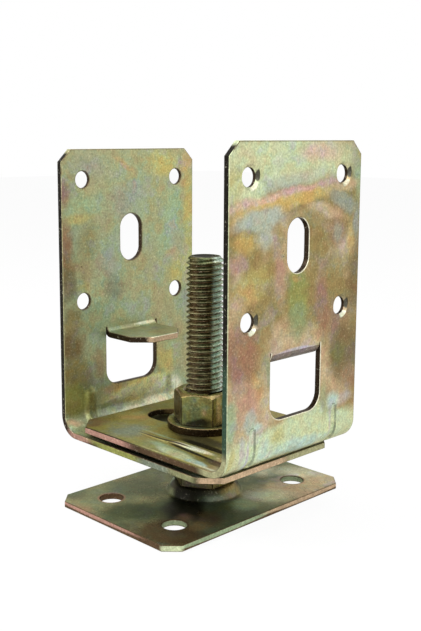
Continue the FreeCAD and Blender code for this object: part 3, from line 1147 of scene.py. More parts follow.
PLATE = (
    *PLATE_TOP.clouds(
        (Shade.FIR, -27, -33, 8, 7, 0.8, 0.3, 45),
        (Shade.FIR, -17, -15, 13, 11, 0.8, 0.4, 45),
        (Shade.PINE, -2, -29, 16, 11, 0.95, 0.4, 45),
        (Shade.RUST, -14, -39, 10, 4, 0.5, 0.2),
        (Shade.BROWN, 18, -32, 16, 12, 0.95, 0.5, 30),
        # Painted shadow on the plate in front of the boss, under the legs.
        (Shade.SOOT, 9, -17, 9, 17, 0.95, 0.45, 45),
        (Shade.RUST, 14, -22, 4, 6, 0.55, 0.2, 45),
        (Shade.BROWN, 20, -17, 6.6, 9, 0.9, 0.3, 45),
        (Shade.UMBER, 21, -22, 6, 6, 0.85, 0.3, 45),
        (Shade.SAND, 20, 26, 13, 24, 0.9, 0.5),
        (Shade.LEAF, 18, -1, 7, 7, 0.8, 0.3, 45),
        (Shade.MIST, 16, 8, 7, 7, 0.8, 0.3, 45),
        (Shade.PALE_GREEN, 20, 12, 8, 7, 0.8, 0.3, 45),
        (Shade.CREAM, 12, 36, 12.5, 8.7, 0.5, 0.3, 45),
        (Shade.CREAM, 2, 26, 9, 8, 0.6, 0.3, 45),
    ),
    # Over the boss: painted shade, a painted highlight on its left flank and a painted shadow in
    # front, with bronze on its right.
    Cloud(Shade.COFFEE, (0, 0, 4.5), (13, 13, 3.2), 0.9, 0.8, crisp=True),
    Cloud(Shade.LEAF, (-7.6, -8.4, 3.4), (2.4, 3.4, 3), 0.9, 0.3, (0, 0, -45)),
    Cloud(Shade.SOOT, (3, -11, 4), (7.5, 5.5, 4), 0.95, 0.5, (0, 0, 30)),
    Cloud(Shade.BRONZE, (11, 1.5, 4), (4.5, 7.5, 4), 0.9, 0.5),
    Cloud(Shade.COFFEE, (14.75, -27, 2), (4.7, 4.7, 2), 0.75, 0.78, crisp=True),
    Cloud(Shade.COFFEE, (14.75, 27, 2), (4.7, 4.7, 2), 0.75, 0.78, crisp=True),
    Cloud(Shade.RUST, (-14.75, -27, 2), (5, 5, 2), 0.9, 0.78, crisp=True),
    Cloud(Shade.COFFEE, (-14.75, 27, 2), (4.7, 4.7, 2), 0.75, 0.78, crisp=True),
)

PLATE_EDGES = (
    Cloud(Shade.BLUSH, (-8, -40, 1.5), (26, 4, 1), 0.9, 0.6, crisp=True),
    Cloud(Shade.LEAF, (27, -18, 1.5), (4, 26, 1.2), 0.9, 0.7, crisp=True),
    Cloud(Shade.SAND, (27, 20, 1.5), (4, 24, 1.2), 0.9, 0.7, crisp=True),
    Cloud(Shade.PALE_GREEN, (25, -37.5, 1), (4, 4, 3), 0.9, 0.6, crisp=True),
    Cloud(Shade.BLUSH, (-27, -37, 1), (4, 5, 3), 0.7, 0.5, crisp=True),
    Cloud(Shade.SAGE, (14.7, -27, 1), (4.5, 4.5, 3), 0.9, 0.8, crisp=True),
    Cloud(Shade.SAGE, (14.7, 27, 1), (4.5, 4.5, 3), 0.9, 0.8, crisp=True),
)

STUD_THREAD = (
    # Painted shade down the stud's left side, a brown streak, a painted highlight streak down its
    # right side, and painted shade over its end.
    Cloud(Shade.COFFEE, (-4.4, -4.4, 50), (4.2, 4.2, 60), 0.8, 0.4, crisp=True),
    Cloud(Shade.UMBER, (0, -6, 50), (3, 3, 60), 0.6, 0.4, crisp=True),
    Cloud(Shade.ICE, (5.6, 1, 50), (3, 3.8, 60), 0.95, 0.6, crisp=True),
    Cloud(Shade.SOOT, (0, 0, 79), (5.2, 5.2, 1.6), 0.95, 0.8, crisp=True),
)

NUT_FACES = (
    Cloud(Shade.MOSS, (4.6, -7.9, 31), (6.2, 2, 7.5), 0.8, 0.7, (0, 0, 30), True),
    Cloud(Shade.FIR, (3.4, -8.4, 30), (3.4, 2, 6), 0.7, 0.4, (0, 0, 30)),
    Cloud(Shade.BLUSH, (6.2, -7, 30), (2, 2, 3), 0.65, 0.2, (0, 0, 30)),
    # Painted shade at the foot of the front flat, and over the left flat, which faces away from the
    # light.
    Cloud(Shade.COFFEE, (4.6, -7.9, 26.4), (9, 4, 2.2), 0.95, 0.4, (0, 0, 30)),
    Cloud(Shade.BROWN, (-4.5, -7.8, 31), (6.2, 2, 7.5), 0.9, 0.7, (0, 0, -30), True),
    Cloud(Shade.SAND, (9, -2.6, 32), (2, 1.6, 6), 0.9, 0.5, crisp=True),
    Cloud(Shade.COPPER, (9, 0.6, 28.6), (2, 4, 3), 0.8),
    Cloud(Shade.MOSS, (0, 0, 25.85), (13, 13, 0.6), 0.9, 0.9, crisp=True),
    # Painted shadow on the washer's top next to the nut.
    Cloud(Shade.SOOT, (0, 0, 25.9), (11, 11, 0.6), 0.85, 0.88, crisp=True),
)

PLATE_ZINC = ZincPlating(
    "plate_zinc", Shade.SEDGE, Shade.FIR, PLATE, Shade.BROWN, PLATE_EDGES,
    rainbow=0.2, sparkle=0.12, rough=0.32)
# The stud's roots take the brown cut tint as painted shade, and its crests the khaki rim tint as a
# painted highlight.
STUD_ZINC = ZincPlating(
    "stud_zinc", Shade.BROWN, Shade.PINE, STUD_THREAD, Shade.BROWN, rim=Shade.KHAKI,
    rim_share=0.45, rainbow=0.12, grain=0.5, sparkle=0.3, rough=0.26, bump=0.03, streaks=0.6)
NUT_ZINC = ZincPlating(
    "nut_zinc", Shade.BRASS, Shade.UMBER, NUT_FACES, rim=Shade.UMBER,
    rainbow=0.3, grain=0.4, sparkle=0.12, rough=0.28)
# The left bracket's gain lifts it as painted light and the right one's lowers it as painted shade:
# two copies of one pressing.
LEFT_ZINC = ZincPlating(
    "left_zinc", Shade.KHAKI, Shade.FERN, LEFT_WALL, edge_clouds=LEFT_EDGES,
    rim_clouds=LEFT_RIMS, rainbow=0.24, sparkle=0.35, gain=1.1)
RIGHT_ZINC = ZincPlating(
    "right_zinc", Shade.BRONZE, Shade.SAND, RIGHT_WALL + SINK_SHADE_AND_HIGHLIGHT + UPPER_LEG,
    edge_clouds=RIGHT_EDGES, rim_clouds=RIGHT_RIMS, rainbow=0.18, gain=0.97)


class SubAssembly:
    """Pieces of the post base that are made and dressed together."""

    def assemble(self) -> list[Workpiece]:
        """Build the pieces in their places and dress them."""
        raise NotImplementedError

    @staticmethod
    def dress(piece: Workpiece, body: str, node: str, material: bpy.types.Material) -> Workpiece:
        """Put a finished piece in the place of its CAD node.

        Args:
            piece: The piece.
            body: The CAD body that it moves with.
            node: The CAD node that it stands for, which it hides.
            material: Its finish.

        Returns:
            The dressed piece.
        """
        piece.body.data.materials.clear()
        piece.body.data.materials.append(material)
        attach(piece.body, body)
        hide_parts(node)
        return piece


@dataclass
class BentBracket:
    """One bracket: a wall, a bend and a slotted leg of one sheet.

    It is modelled with the wall's outer face at X = 0 and the leg along +X on Z = 0.

    Attributes:
        leg_corner: Length and width of the corners cut off the leg's end.
        leg_slot: Near end, far end and width of the leg's slot.
        window: Width, lower edge and upper edge of the window.
        ridge: Half the flat and the width of the side of a bead's inner face.
        groove: The same of its outer face.
        zone: Half the width of the finely divided strip round a bead.
        zone_top: How far up the wall that strip goes.
        zone_over: How far past the bead's end it goes on the leg.
        tab_zone: Height over which what stands inside the wall is the tab.
        outside: Share of the sheet's thickness that counts as its outer face.
        sink_slant: Least and greatest cosine of a countersink's faces.
        cut: Cosine under which a face is a cut edge.
        strips: Number of cuts on each side of a bead's middle, and their spacing.
        wall_rows: Number of cuts across the strip on the wall, and their spacing.
        leg_rows: The same on the leg.
    """

    sheet: float = 2.0
    width: float = 58.0
    height: float = 94.0
    corner: float = 4.0
    bend: float = 5.0
    bend_steps: int = 16
    leg: float = 69.4
    leg_corner: tuple[float, float] = (4.2, 6.0)
    screw: float = 5.5
    screw_sink: float = 7.1
    screw_spacing: tuple[float, float] = (41.0, 40.0)
    screw_middle: float = 64.2
    slot: tuple[float, float] = (9.5, 16.0)
    leg_slot: tuple[float, float, float] = (30.5, 62.3, 13.0)
    window: tuple[float, float, float] = (22.5, 13.97, 34.2)
    window_round: float = 5.0
    tab_round: float = 1.5
    tab_reach: float = 17.5
    tab_corner: float = 5.6
    tab_gap: float = 0.3
    bead: float = 18.5
    ridge_height: float = 0.8
    groove_depth: float = 0.5
    ridge: tuple[float, float] = (0.6, 2.3)
    groove: tuple[float, float] = (1.15, 0.34)
    bead_top: float = 12.2
    bead_end: float = 42.0
    bead_fade: float = 14.0
    zone: float = 3.6
    zone_top: float = 18.0
    zone_over: float = 3.0
    strips: tuple[int, float] = (9, 0.36)
    wall_rows: tuple[int, float] = (16, 0.6)
    leg_rows: tuple[int, float] = (26, 1.4)
    tab_zone: float = 20.0
    outside: float = 0.9
    sink_slant: tuple[float, float] = (0.5, 0.9)
    cut: float = 0.6
    edge: float = 0.3

    @property
    def outer(self) -> float:
        """Radius of the bend's outer face, and so the end of the bend."""
        return self.bend + self.sheet

    def build(self, name: str) -> Workpiece:
        """Model one bracket.

        Args:
            name: Name of the piece.

        Returns:
            The bracket in its own place, wall at the origin.
        """
        piece = self.bent_sheet(name)
        self.press_beads(piece)
        self.cut_openings(piece)
        self.bend_tab(piece)
        piece.soften(self.edge, steps=3, within=lambda spot: not self.bead_zone(spot))
        piece.paint(self.skin)
        piece.finish()
        return piece

    def skin(self, spot: Vector, way: Vector) -> Skin:
        """Tell what a face of the bracket is.

        Args:
            spot: The face's centre.
            way: The way that it faces.

        Returns:
            Sheet, cut edge, rim, bright lip with a painted highlight, or countersink.
        """
        bent = math.hypot(way.x, way.z)
        # Round a bead, the steep walls of the outer face take the rim tint, a painted shade that
        # outlines each groove.
        if self.bead_zone(spot):
            steep = bent < STEEP or (spot.z > self.outer and abs(way.x) < STEEP)
            outside = self.depth(spot) < self.sheet * self.outside and spot.z > self.sheet
            return Skin.RIM if steep and outside else Skin.SHEET
        if spot.z > self.tab_zone and spot.x > self.sheet + EXACT:
            flat = abs(way.z) if spot.x > self.sheet + self.tab_round else bent
        elif spot.z > self.outer:
            flat = abs(way.x)
        else:
            flat = abs(way.z) if spot.x > self.outer else bent
        low, high = self.sink_slant
        if low < flat < high and spot.x < self.sheet / 2.0 and self.in_sink(spot):
            return Skin.SINK
        kind = edge_skin(flat, self.cut)
        if kind is not Skin.RIM:
            return kind
        # A rim on the outer face that tilts up or towards +Y, away from the outline, is a bright
        # lip and gets a painted highlight.
        outline = (abs(spot.y) > self.width / 2.0 - 5.0 or spot.z > self.height - 2.0
                   or spot.z < self.outer)
        bright = way.x < -0.5 and (way.z > 0.1 or way.y > 0.1) and not outline
        return Skin.LIP if bright else Skin.RIM

    def in_sink(self, spot: Vector) -> bool:
        """Tell whether a place lies in a countersink.

        Args:
            spot: The place.

        Returns:
            True inside one of the four.
        """
        spread_y, spread_z = self.screw_spacing
        away = math.hypot(abs(spot.y) - spread_y / 2.0,
                          abs(spot.z - self.screw_middle) - spread_z / 2.0)
        return away < self.screw_sink / 2.0 + 0.3

    def depth(self, spot: Vector) -> float:
        """Measure how deep a place lies under the outer face.

        Args:
            spot: The place on the wall, the bend or the leg.

        Returns:
            The depth.
        """
        if max(spot.x, spot.z) < self.outer:
            return self.outer - math.hypot(spot.x - self.outer, spot.z - self.outer)
        return min(spot.x, spot.z)

    def bent_sheet(self, name: str) -> Workpiece:
        """Bend the flat sheet and give it its outline.

        Args:
            name: Name of the piece.

        Returns:
            The bent sheet, with extra corners where the beads will be.
        """
        outer = self.outer
        half = self.width / 2.0
        piece = Workpiece.block(name, (0.0, -half, outer), (self.sheet, half, self.height))
        piece.pick(Element.FACE, lambda spot: spot.z < outer + NEAR)
        piece.spin(90.0, (outer, 0.0, outer), (0.0, 1.0, 0.0), self.bend_steps)
        piece.push((self.leg - outer, 0.0, 0.0))
        piece.weld()
        piece.face_outwards()
        long_way, wide_way = self.leg_corner
        for side in (-1.0, 1.0):
            piece.slice((0.0, side * half, self.height - self.corner), (0.0, side, 1.0),
                        drop=True, fill=True)
            piece.slice((self.leg, side * (half - wide_way), 0.0),
                        (wide_way, side * long_way, 0.0), drop=True, fill=True)
        self.add_bead_corners(piece)
        return piece

    def bead_zone(self, spot: Vector) -> bool:
        """Tell whether a place is near a bead."""
        return abs(abs(spot.y) - self.bead) < self.zone and self.low(spot)

    def low(self, spot: Vector) -> bool:
        """Tell whether a place is as low on the wall and as near on the leg as a bead."""
        return spot.z < self.zone_top and spot.x < self.bead_end + self.zone_over

    def add_bead_corners(self, piece: Workpiece) -> None:
        """Divide the sheet finely round the beads.

        Args:
            piece: The bent sheet.
        """
        across, up, along = (0.0, 1.0, 0.0), (0.0, 0.0, 1.0), (1.0, 0.0, 0.0)
        piece.slice((0.0, 0.0, self.zone_top), up)
        piece.slice((self.bead_end + self.zone_over, 0.0, 0.0), along)
        for side in (-1.0, 1.0):
            for offset in (-self.zone, self.zone):
                piece.slice((0.0, side * self.bead + offset, 0.0), across, self.low)
        count, width = self.strips
        for side in (-1.0, 1.0):
            for step in range(-count, count + 1):
                place = side * self.bead + step * width
                piece.slice((0.0, place, 0.0), across, self.bead_zone)
        count, width = self.wall_rows
        for step in range(count):
            piece.slice((0.0, 0.0, self.outer + width * (step + 0.5)), up, self.bead_zone)
        count, width = self.leg_rows
        for step in range(count):
            piece.slice((self.outer + width * (step + 0.5), 0.0, 0.0), along, self.bead_zone)

    def bead_share(self, spot: Vector, profile: tuple[float, float]) -> float:
        """Work out how far the beads push the sheet in at a place.

        Args:
            spot: The place on the sheet.
            profile: Half the width of the bead's flat, and the width of its side.

        Returns:
            The share of the full height, from 0 to 1.
        """
        across = abs(abs(spot.y) - self.bead)
        floor, side = profile
        if spot.x > self.outer:
            run = (spot.x - (self.bead_end - self.bead_fade)) / self.bead_fade
            narrow = floor * (1.0 - 0.7 * smooth(run))
            fade = smooth(run * 0.5 + 0.5 * max(run, 0.0))
            return (1.0 - smooth((across - narrow) / side)) * (1.0 - fade)
        over = max(0.0, spot.z - self.bead_top) if spot.x < self.outer else 0.0
        return 1.0 - smooth((math.hypot(across, over) - floor) / side)

    def press_beads(self, piece: Workpiece) -> None:
        """Push the beads inwards on both faces of the sheet.

        Args:
            piece: The bent sheet.
        """
        inner_group = piece.body.vertex_groups.new(name="ridge")
        outer_group = piece.body.vertex_groups.new(name="groove")
        piece.take()
        for vertex in piece.body.data.vertices:
            spot = vertex.co / MM
            if not self.bead_zone(spot):
                continue
            inside = self.depth(spot) > self.sheet / 2.0
            share = self.bead_share(spot, self.ridge if inside else self.groove)
            if share > 0.001:
                (inner_group if inside else outer_group).add([vertex.index], share, "REPLACE")
        for group, height in (("ridge", self.ridge_height), ("groove", -self.groove_depth)):
            piece.modify("DISPLACE", vertex_group=group, strength=height * MM, mid_level=0.0,
                         direction="NORMAL")
        piece.body.vertex_groups.clear()

    def cut_openings(self, piece: Workpiece) -> None:
        """Cut the screw holes, the slots and the window.

        Args:
            piece: The bent sheet with its beads.
        """
        spread_y, spread_z = self.screw_spacing
        for side in (-1.0, 1.0):
            for row in (-1.0, 1.0):
                y, z = side * spread_y / 2.0, self.screw_middle + row * spread_z / 2.0
                drill = Workpiece.rod("drill", self.screw / 2.0, (-1.0, y, z), PUNCH, (1, 0, 0),
                                      SCREW_ROUND)
                piece.use(drill, Blend.CUT)
                piece.use(self.sink(y, z), Blend.CUT)
        wide, tall = self.slot
        start = (-1.0, 0.0, self.screw_middle)
        piece.use(self.slot_tool(start, (0, 0, 1), (1, 0, 0), wide, tall), Blend.CUT)
        near, far, across = self.leg_slot
        start = ((near + far) / 2.0, 0.0, -1.0)
        piece.use(self.slot_tool(start, (1, 0, 0), (0, 0, 1), across, far - near), Blend.CUT)
        piece.use(self.window_tool(), Blend.CUT)

    def sink(self, y: float, z: float) -> Workpiece:
        """Make the countersink of one screw hole.

        Args:
            y: Place of the hole along Y.
            z: Place of the hole along Z.

        Returns:
            A cone that points into the sheet.
        """
        Workpiece.clear_bench()
        radius = self.screw_sink / 2.0 + 1.0
        middle = metres((radius / 2.0 - 1.0, y, z))
        bpy.ops.mesh.primitive_cone_add(vertices=SCREW_ROUND, radius1=radius * MM, radius2=0.0,
                                        depth=radius * MM, location=middle,
                                        rotation=(0.0, math.radians(90.0), 0.0))
        return Workpiece("countersink")

    @staticmethod
    def slot_tool(start: Spot, length_way: Spot, depth_way: Spot, wide: float,
                  long: float) -> Workpiece:
        """Stretch a cylinder into a slot-shaped plug.

        Args:
            start: Centre of its first face.
            length_way: Direction of its length.
            depth_way: Direction through the sheet.
            wide: Its width.
            long: Its whole length.

        Returns:
            The plug.
        """
        plug = Workpiece.rod("slot_punch", wide / 2.0, start, PUNCH, depth_way, SLOT_ROUND)
        middle, way = Vector(start), Vector(length_way)
        plug.slice(start, length_way)
        stretch = (long - wide) / 2.0
        for side in (-1.0, 1.0):
            plug.pick(Element.CORNER, lambda spot: (spot - middle).dot(way) * side > EXACT)
            bpy.ops.transform.translate(value=way * side * stretch * MM)
        plug.take()
        return plug

    def window_tool(self) -> Workpiece:
        """Make the punch of the window, with its round lower corners.

        Returns:
            The punch.
        """
        wide, low, high = self.window
        half = wide / 2.0
        punch = Workpiece.block("window_punch", (-1.0, -half, low), (self.sheet + 1.0, half, high))
        for side in (-1.0, 1.0):
            punch.pick(Element.EDGE, lambda spot: spot.z < low + NEAR and spot.y * side > 1.0)
            bpy.ops.mesh.bevel(offset=self.window_round * MM, segments=8, profile=0.5,
                               affect="EDGES")
        punch.take()
        return punch

    def window_head(self, spot: Vector) -> bool:
        """Tell whether a face is on the upper edge of the window.

        Args:
            spot: The face's centre.

        Returns:
            True for a face there.
        """
        wide, _, high = self.window
        inside = abs(spot.y) < wide / 2.0 and 0.0 < spot.x < self.sheet
        return abs(spot.z - high) < EXACT and inside

    def bend_tab(self, piece: Workpiece) -> None:
        """Bend the tongue of the window inwards to make the seat for the post.

        Args:
            piece: The bracket with its window.
        """
        wide, _, high = self.window
        inside = self.sheet + self.tab_round
        half = wide / 2.0 - self.tab_gap
        for side in (-1.0, 1.0):
            piece.slice((0.0, side * half, 0.0), (0.0, 1.0, 0.0), self.window_head)
        piece.pick(Element.FACE, lambda spot: self.window_head(spot)
                   and abs(spot.y) < half - NEAR)
        piece.spin(90.0, (inside, 0.0, high), (0.0, 1.0, 0.0), 8)
        end = self.sheet + self.tab_reach
        piece.push((end - inside, 0.0, 0.0))
        for side in (-1.0, 1.0):
            piece.pick(Element.EDGE, lambda spot: abs(spot.x - end) < EXACT
                       and spot.y * side > half - NEAR and spot.z > self.tab_zone)
            bpy.ops.mesh.bevel(offset=self.tab_corner * MM, segments=1, affect="EDGES")
        piece.weld()
        piece.take()


@dataclass
class BracketPair(SubAssembly):
    """The two brackets: one pressing used twice, its legs crossed over the stud.

    Attributes:
        pressing: The form of both.
        left_finish: Plating of the left one, whose leg is the lower.
        right_finish: Plating of the right one.
        wall_face: Distance from the stud's axis to each wall's outer face.
        lower_leg: Height of the lower leg's underside.
        upper_leg: Height of the upper leg's underside.
    """

    pressing: BentBracket = field(default_factory=BentBracket)
    left_finish: ZincPlating = LEFT_ZINC
    right_finish: ZincPlating = RIGHT_ZINC
    wall_face: float = 38.0
    lower_leg: float = 18.0
    upper_leg: float = 21.35

    def assemble(self) -> list[Workpiece]:
        """Build one bracket, copy it, turn the copy half round, and dress both.

        Returns:
            The left and the right bracket.
        """
        left = self.pressing.build("lower_bracket_piece")
        right = left.copy("upper_bracket_piece")
        left.move((-self.wall_face, 0.0, self.lower_leg))
        right.turn(180.0)
        right.move((self.wall_face, 0.0, self.upper_leg))
        return [self.dress(left, "lower_bracket", "lower_bracket", self.left_finish.material()),
                self.dress(right, "upper_bracket", "upper_bracket", self.right_finish.material())]


@dataclass
class HexNut:
    """A hexagon nut with its upper corners chamfered.

    Attributes:
        flats: Width across its flats.
        face_ratio: Diameter of its upper face as a share of the flats.
        chamfer: Slope of the chamfer, in degrees.
        sink: Width of the chamfer of its bore.
        cut: Cosine with the axis under which a face is one of the six sides.
        flat_reach: Degrees from a flat's own direction that still count as the flat.
    """

    flats: float = 18.0
    height: float = 9.99
    face_ratio: float = 0.95
    chamfer: float = 30.0
    bore: float = 6.05
    sink: float = 0.7
    edge: float = 0.2
    cut: float = 0.3
    flat_reach: float = 5.0

    def build(self, name: str) -> Workpiece:
        """Model one nut.

        Args:
            name: Name of the piece.

        Returns:
            The nut, standing on the origin.
        """
        corner = self.flats / math.sqrt(3.0)
        nut = Workpiece.rod(name, corner, (0.0, 0.0, 0.0), self.height, (0, 0, 1), 6)
        face = self.flats / 2.0 * self.face_ratio
        reach = corner + 1.0
        drop = (reach - face) * math.tan(math.radians(self.chamfer))
        chamfer = [(reach, -1.0), (reach, self.height - drop), (face, self.height)]
        nut.use(Workpiece.turned("chamfer_form", chamfer, LARGE_ROUND), Blend.COMMON)
        wide, low, high = self.bore + self.sink, self.sink, self.height - self.sink
        bore = [(wide, -1.0), (wide, 0.0), (self.bore, low), (self.bore, high),
                (wide, self.height), (wide, self.height + 1.0)]
        nut.use(Workpiece.turned("bore_tool", bore), Blend.CUT)
        nut.soften(self.edge, 20.0)
        nut.paint(self.skin)
        nut.finish(30.0)
        return nut

    def skin(self, spot: Vector, way: Vector) -> Skin:
        """Tell the flats, the chamfers and the corners apart.

        Args:
            spot: The face's centre.
            way: The way that it faces.

        Returns:
            Sheet for a flat, rim for a chamfer, cut for a corner.
        """
        if abs(way.z) > self.cut:
            return edge_skin(abs(way.z), self.cut)
        off_flat = (math.degrees(math.atan2(way.y, way.x)) + 30.0) % 60.0 - 30.0
        in_bore = math.hypot(spot.x, spot.y) < self.bore + 1.0
        return Skin.SHEET if abs(off_flat) < self.flat_reach or in_bore else Skin.CUT


@dataclass
class FlatWasher:
    """A plain round washer."""

    outer: float = 12.0
    bore: float = 6.5
    thickness: float = 2.5
    edge: float = 0.3
    cut: float = 0.3

    def build(self, name: str) -> Workpiece:
        """Model one washer.

        Args:
            name: Name of the piece.

        Returns:
            The washer, lying on the origin.
        """
        washer = Workpiece.rod(name, self.outer, (0.0, 0.0, 0.0), self.thickness, (0, 0, 1),
                               LARGE_ROUND)
        middle = self.thickness / 2.0
        washer.pick(Element.FACE, lambda spot: abs(spot.z - middle) > 0.5)
        bpy.ops.mesh.inset(thickness=(self.outer - self.bore) * MM, use_individual=True)
        bpy.ops.mesh.bridge_edge_loops()
        washer.soften(self.edge, 60.0, 3)
        washer.face_outwards()
        washer.paint(lambda spot, way: edge_skin(abs(way.z), self.cut))
        washer.finish(40.0)
        return washer


@dataclass
class ClampStack(SubAssembly):
    """The nuts and washers that carry and clamp the two legs.

    Attributes:
        nut: The form of both nuts.
        washer: The form of both washers.
        finish: Their plating.
        lower_nut: Height of the lower nut's underside.
        lower_washer: Height of the lower washer's underside.
        upper_washer: Height of the upper washer's underside.
        upper_nut: Height of the upper nut's underside.
    """

    nut: HexNut = field(default_factory=HexNut)
    washer: FlatWasher = field(default_factory=FlatWasher)
    finish: ZincPlating = NUT_ZINC
    lower_nut: float = 5.5
    lower_washer: float = 15.5
    upper_washer: float = 23.35
    upper_nut: float = 25.85

    def assemble(self) -> list[Workpiece]:
        """Build one nut and one washer, copy them, and dress all four.

        Returns:
            The four pieces from the bottom up.
        """
        material = self.finish.material()
        lower_nut = self.nut.build("lower_nut_piece")
        upper_nut = lower_nut.copy("upper_nut_piece")
        lower_washer = self.washer.build("lower_washer_piece")
        upper_washer = lower_washer.copy("upper_washer_piece")
        for piece, height in ((lower_nut, self.lower_nut), (lower_washer, self.lower_washer),
                              (upper_washer, self.upper_washer), (upper_nut, self.upper_nut)):
            piece.move((0.0, 0.0, height))
        return [self.dress(lower_nut, "lower_nut", "lower_nut", material),
                self.dress(lower_washer, "carriage", "lower_washer", material),
                self.dress(upper_washer, "turntable", "upper_washer", material),
                self.dress(upper_nut, "upper_nut", "upper_nut", material)]


@dataclass
class ThreadedStud(SubAssembly):
    """The stud: a threaded bolt with a flat round head under the plate.

    Attributes:
        root: Radius at the bottom of the thread.
        tip: Size of the chamfer at its end.
        dish: Depth of the hollow in its end.
        head: Radius of its head.
        shank: Radius under the thread.
        crest_skin: Depth under the crest that still counts as the crest.
        root_skin: Height over the root that still counts as the root.
    """

    radius: float = 6.0
    pitch: float = 1.75
    root: float = 4.98
    crest_flat: float = 0.24
    root_flat: float = 0.26
    top: float = 79.0
    thread_start: float = 5.6
    tip: float = 1.2
    dish: float = 1.3
    head: float = 9.0
    head_low: float = 0.5
    head_high: float = 3.5
    head_round: float = 0.8
    shank: float = 5.85
    crest_skin: float = 0.08
    root_skin: float = 0.1
    finish: ZincPlating = STUD_ZINC

    def assemble(self) -> list[Workpiece]:
        """Build the stud and dress it."""
        stud = self.build("stud_piece")
        return [self.dress(stud, "base", "threaded_stud", self.finish.material())]

    def build(self, name: str) -> Workpiece:
        """Model the stud with its real thread.

        Args:
            name: Name of the piece.

        Returns:
            The stud in its place.
        """
        stud = self.thread(name)
        wide, tip = self.radius + 1.0, self.radius - self.tip
        chamfer = [(wide, 0.0), (wide, self.top - self.tip - 1.0), (tip, self.top),
                   (1.0, self.top + 0.5)]
        stud.use(Workpiece.turned("tip_form", chamfer), Blend.COMMON)
        rim = tip - 0.3
        dish = [(0.3, self.top - self.dish), (rim, self.top - 0.2), (rim + 0.15, self.top + 0.3)]
        stud.use(Workpiece.turned("dish_form", dish), Blend.CUT)
        head = [(self.head - self.head_round, self.head_low),
                (self.head, self.head_low + self.head_round),
                (self.head, self.head_high), (self.shank, self.head_high),
                (self.shank, self.thread_start + 0.3)]
        stud.use(Workpiece.turned("head", head), Blend.JOIN)
        stud.paint(self.skin)
        stud.finish(35.0)
        return stud

    def thread(self, name: str) -> Workpiece:
        """Turn the thread's outline up the stud and cut it to length.

        Args:
            name: Name of the piece.

        Returns:
            The thread, closed at both ends.
        """
        flank = (self.pitch - self.crest_flat - self.root_flat) / 2.0
        depth = self.radius - self.root
        start = self.thread_start - 2.5 * self.pitch
        stud = Workpiece.path(name, (self.root, 0.0, start),
                              [(0.0, 0.0, self.root_flat), (depth, 0.0, flank),
                               (0.0, 0.0, self.crest_flat), (-depth, 0.0, flank)])
        turns = int((self.top - start) / self.pitch) + 2
        stud.modify("SCREW", axis="Z", angle=math.tau, screw_offset=self.pitch * MM,
                    iterations=turns, steps=48, render_steps=48, use_merge_vertices=False)
        stud.weld()
        for height, way in ((self.thread_start, -1.0), (self.top, 1.0)):
            stud.slice((0.0, 0.0, height), (0.0, 0.0, way), drop=True, fill=True)
        stud.face_outwards()
        return stud

    def skin(self, spot: Vector, way: Vector) -> Skin:
        """Tell a crest, a flank and a root of the thread apart.

        Args:
            spot: The face's centre.
            way: The way that it faces; not used.

        Returns:
            Rim for a crest, cut for a root, sheet for all else.
        """
        # A crest is painted as rim, for a painted highlight, and a root as cut, for painted shade.
        away = math.hypot(spot.x, spot.y)
        if away > self.radius - self.crest_skin:
            return Skin.RIM
        in_root = away < self.root + self.root_skin and spot.z < self.top - self.tip
        return Skin.CUT if in_root else Skin.SHEET


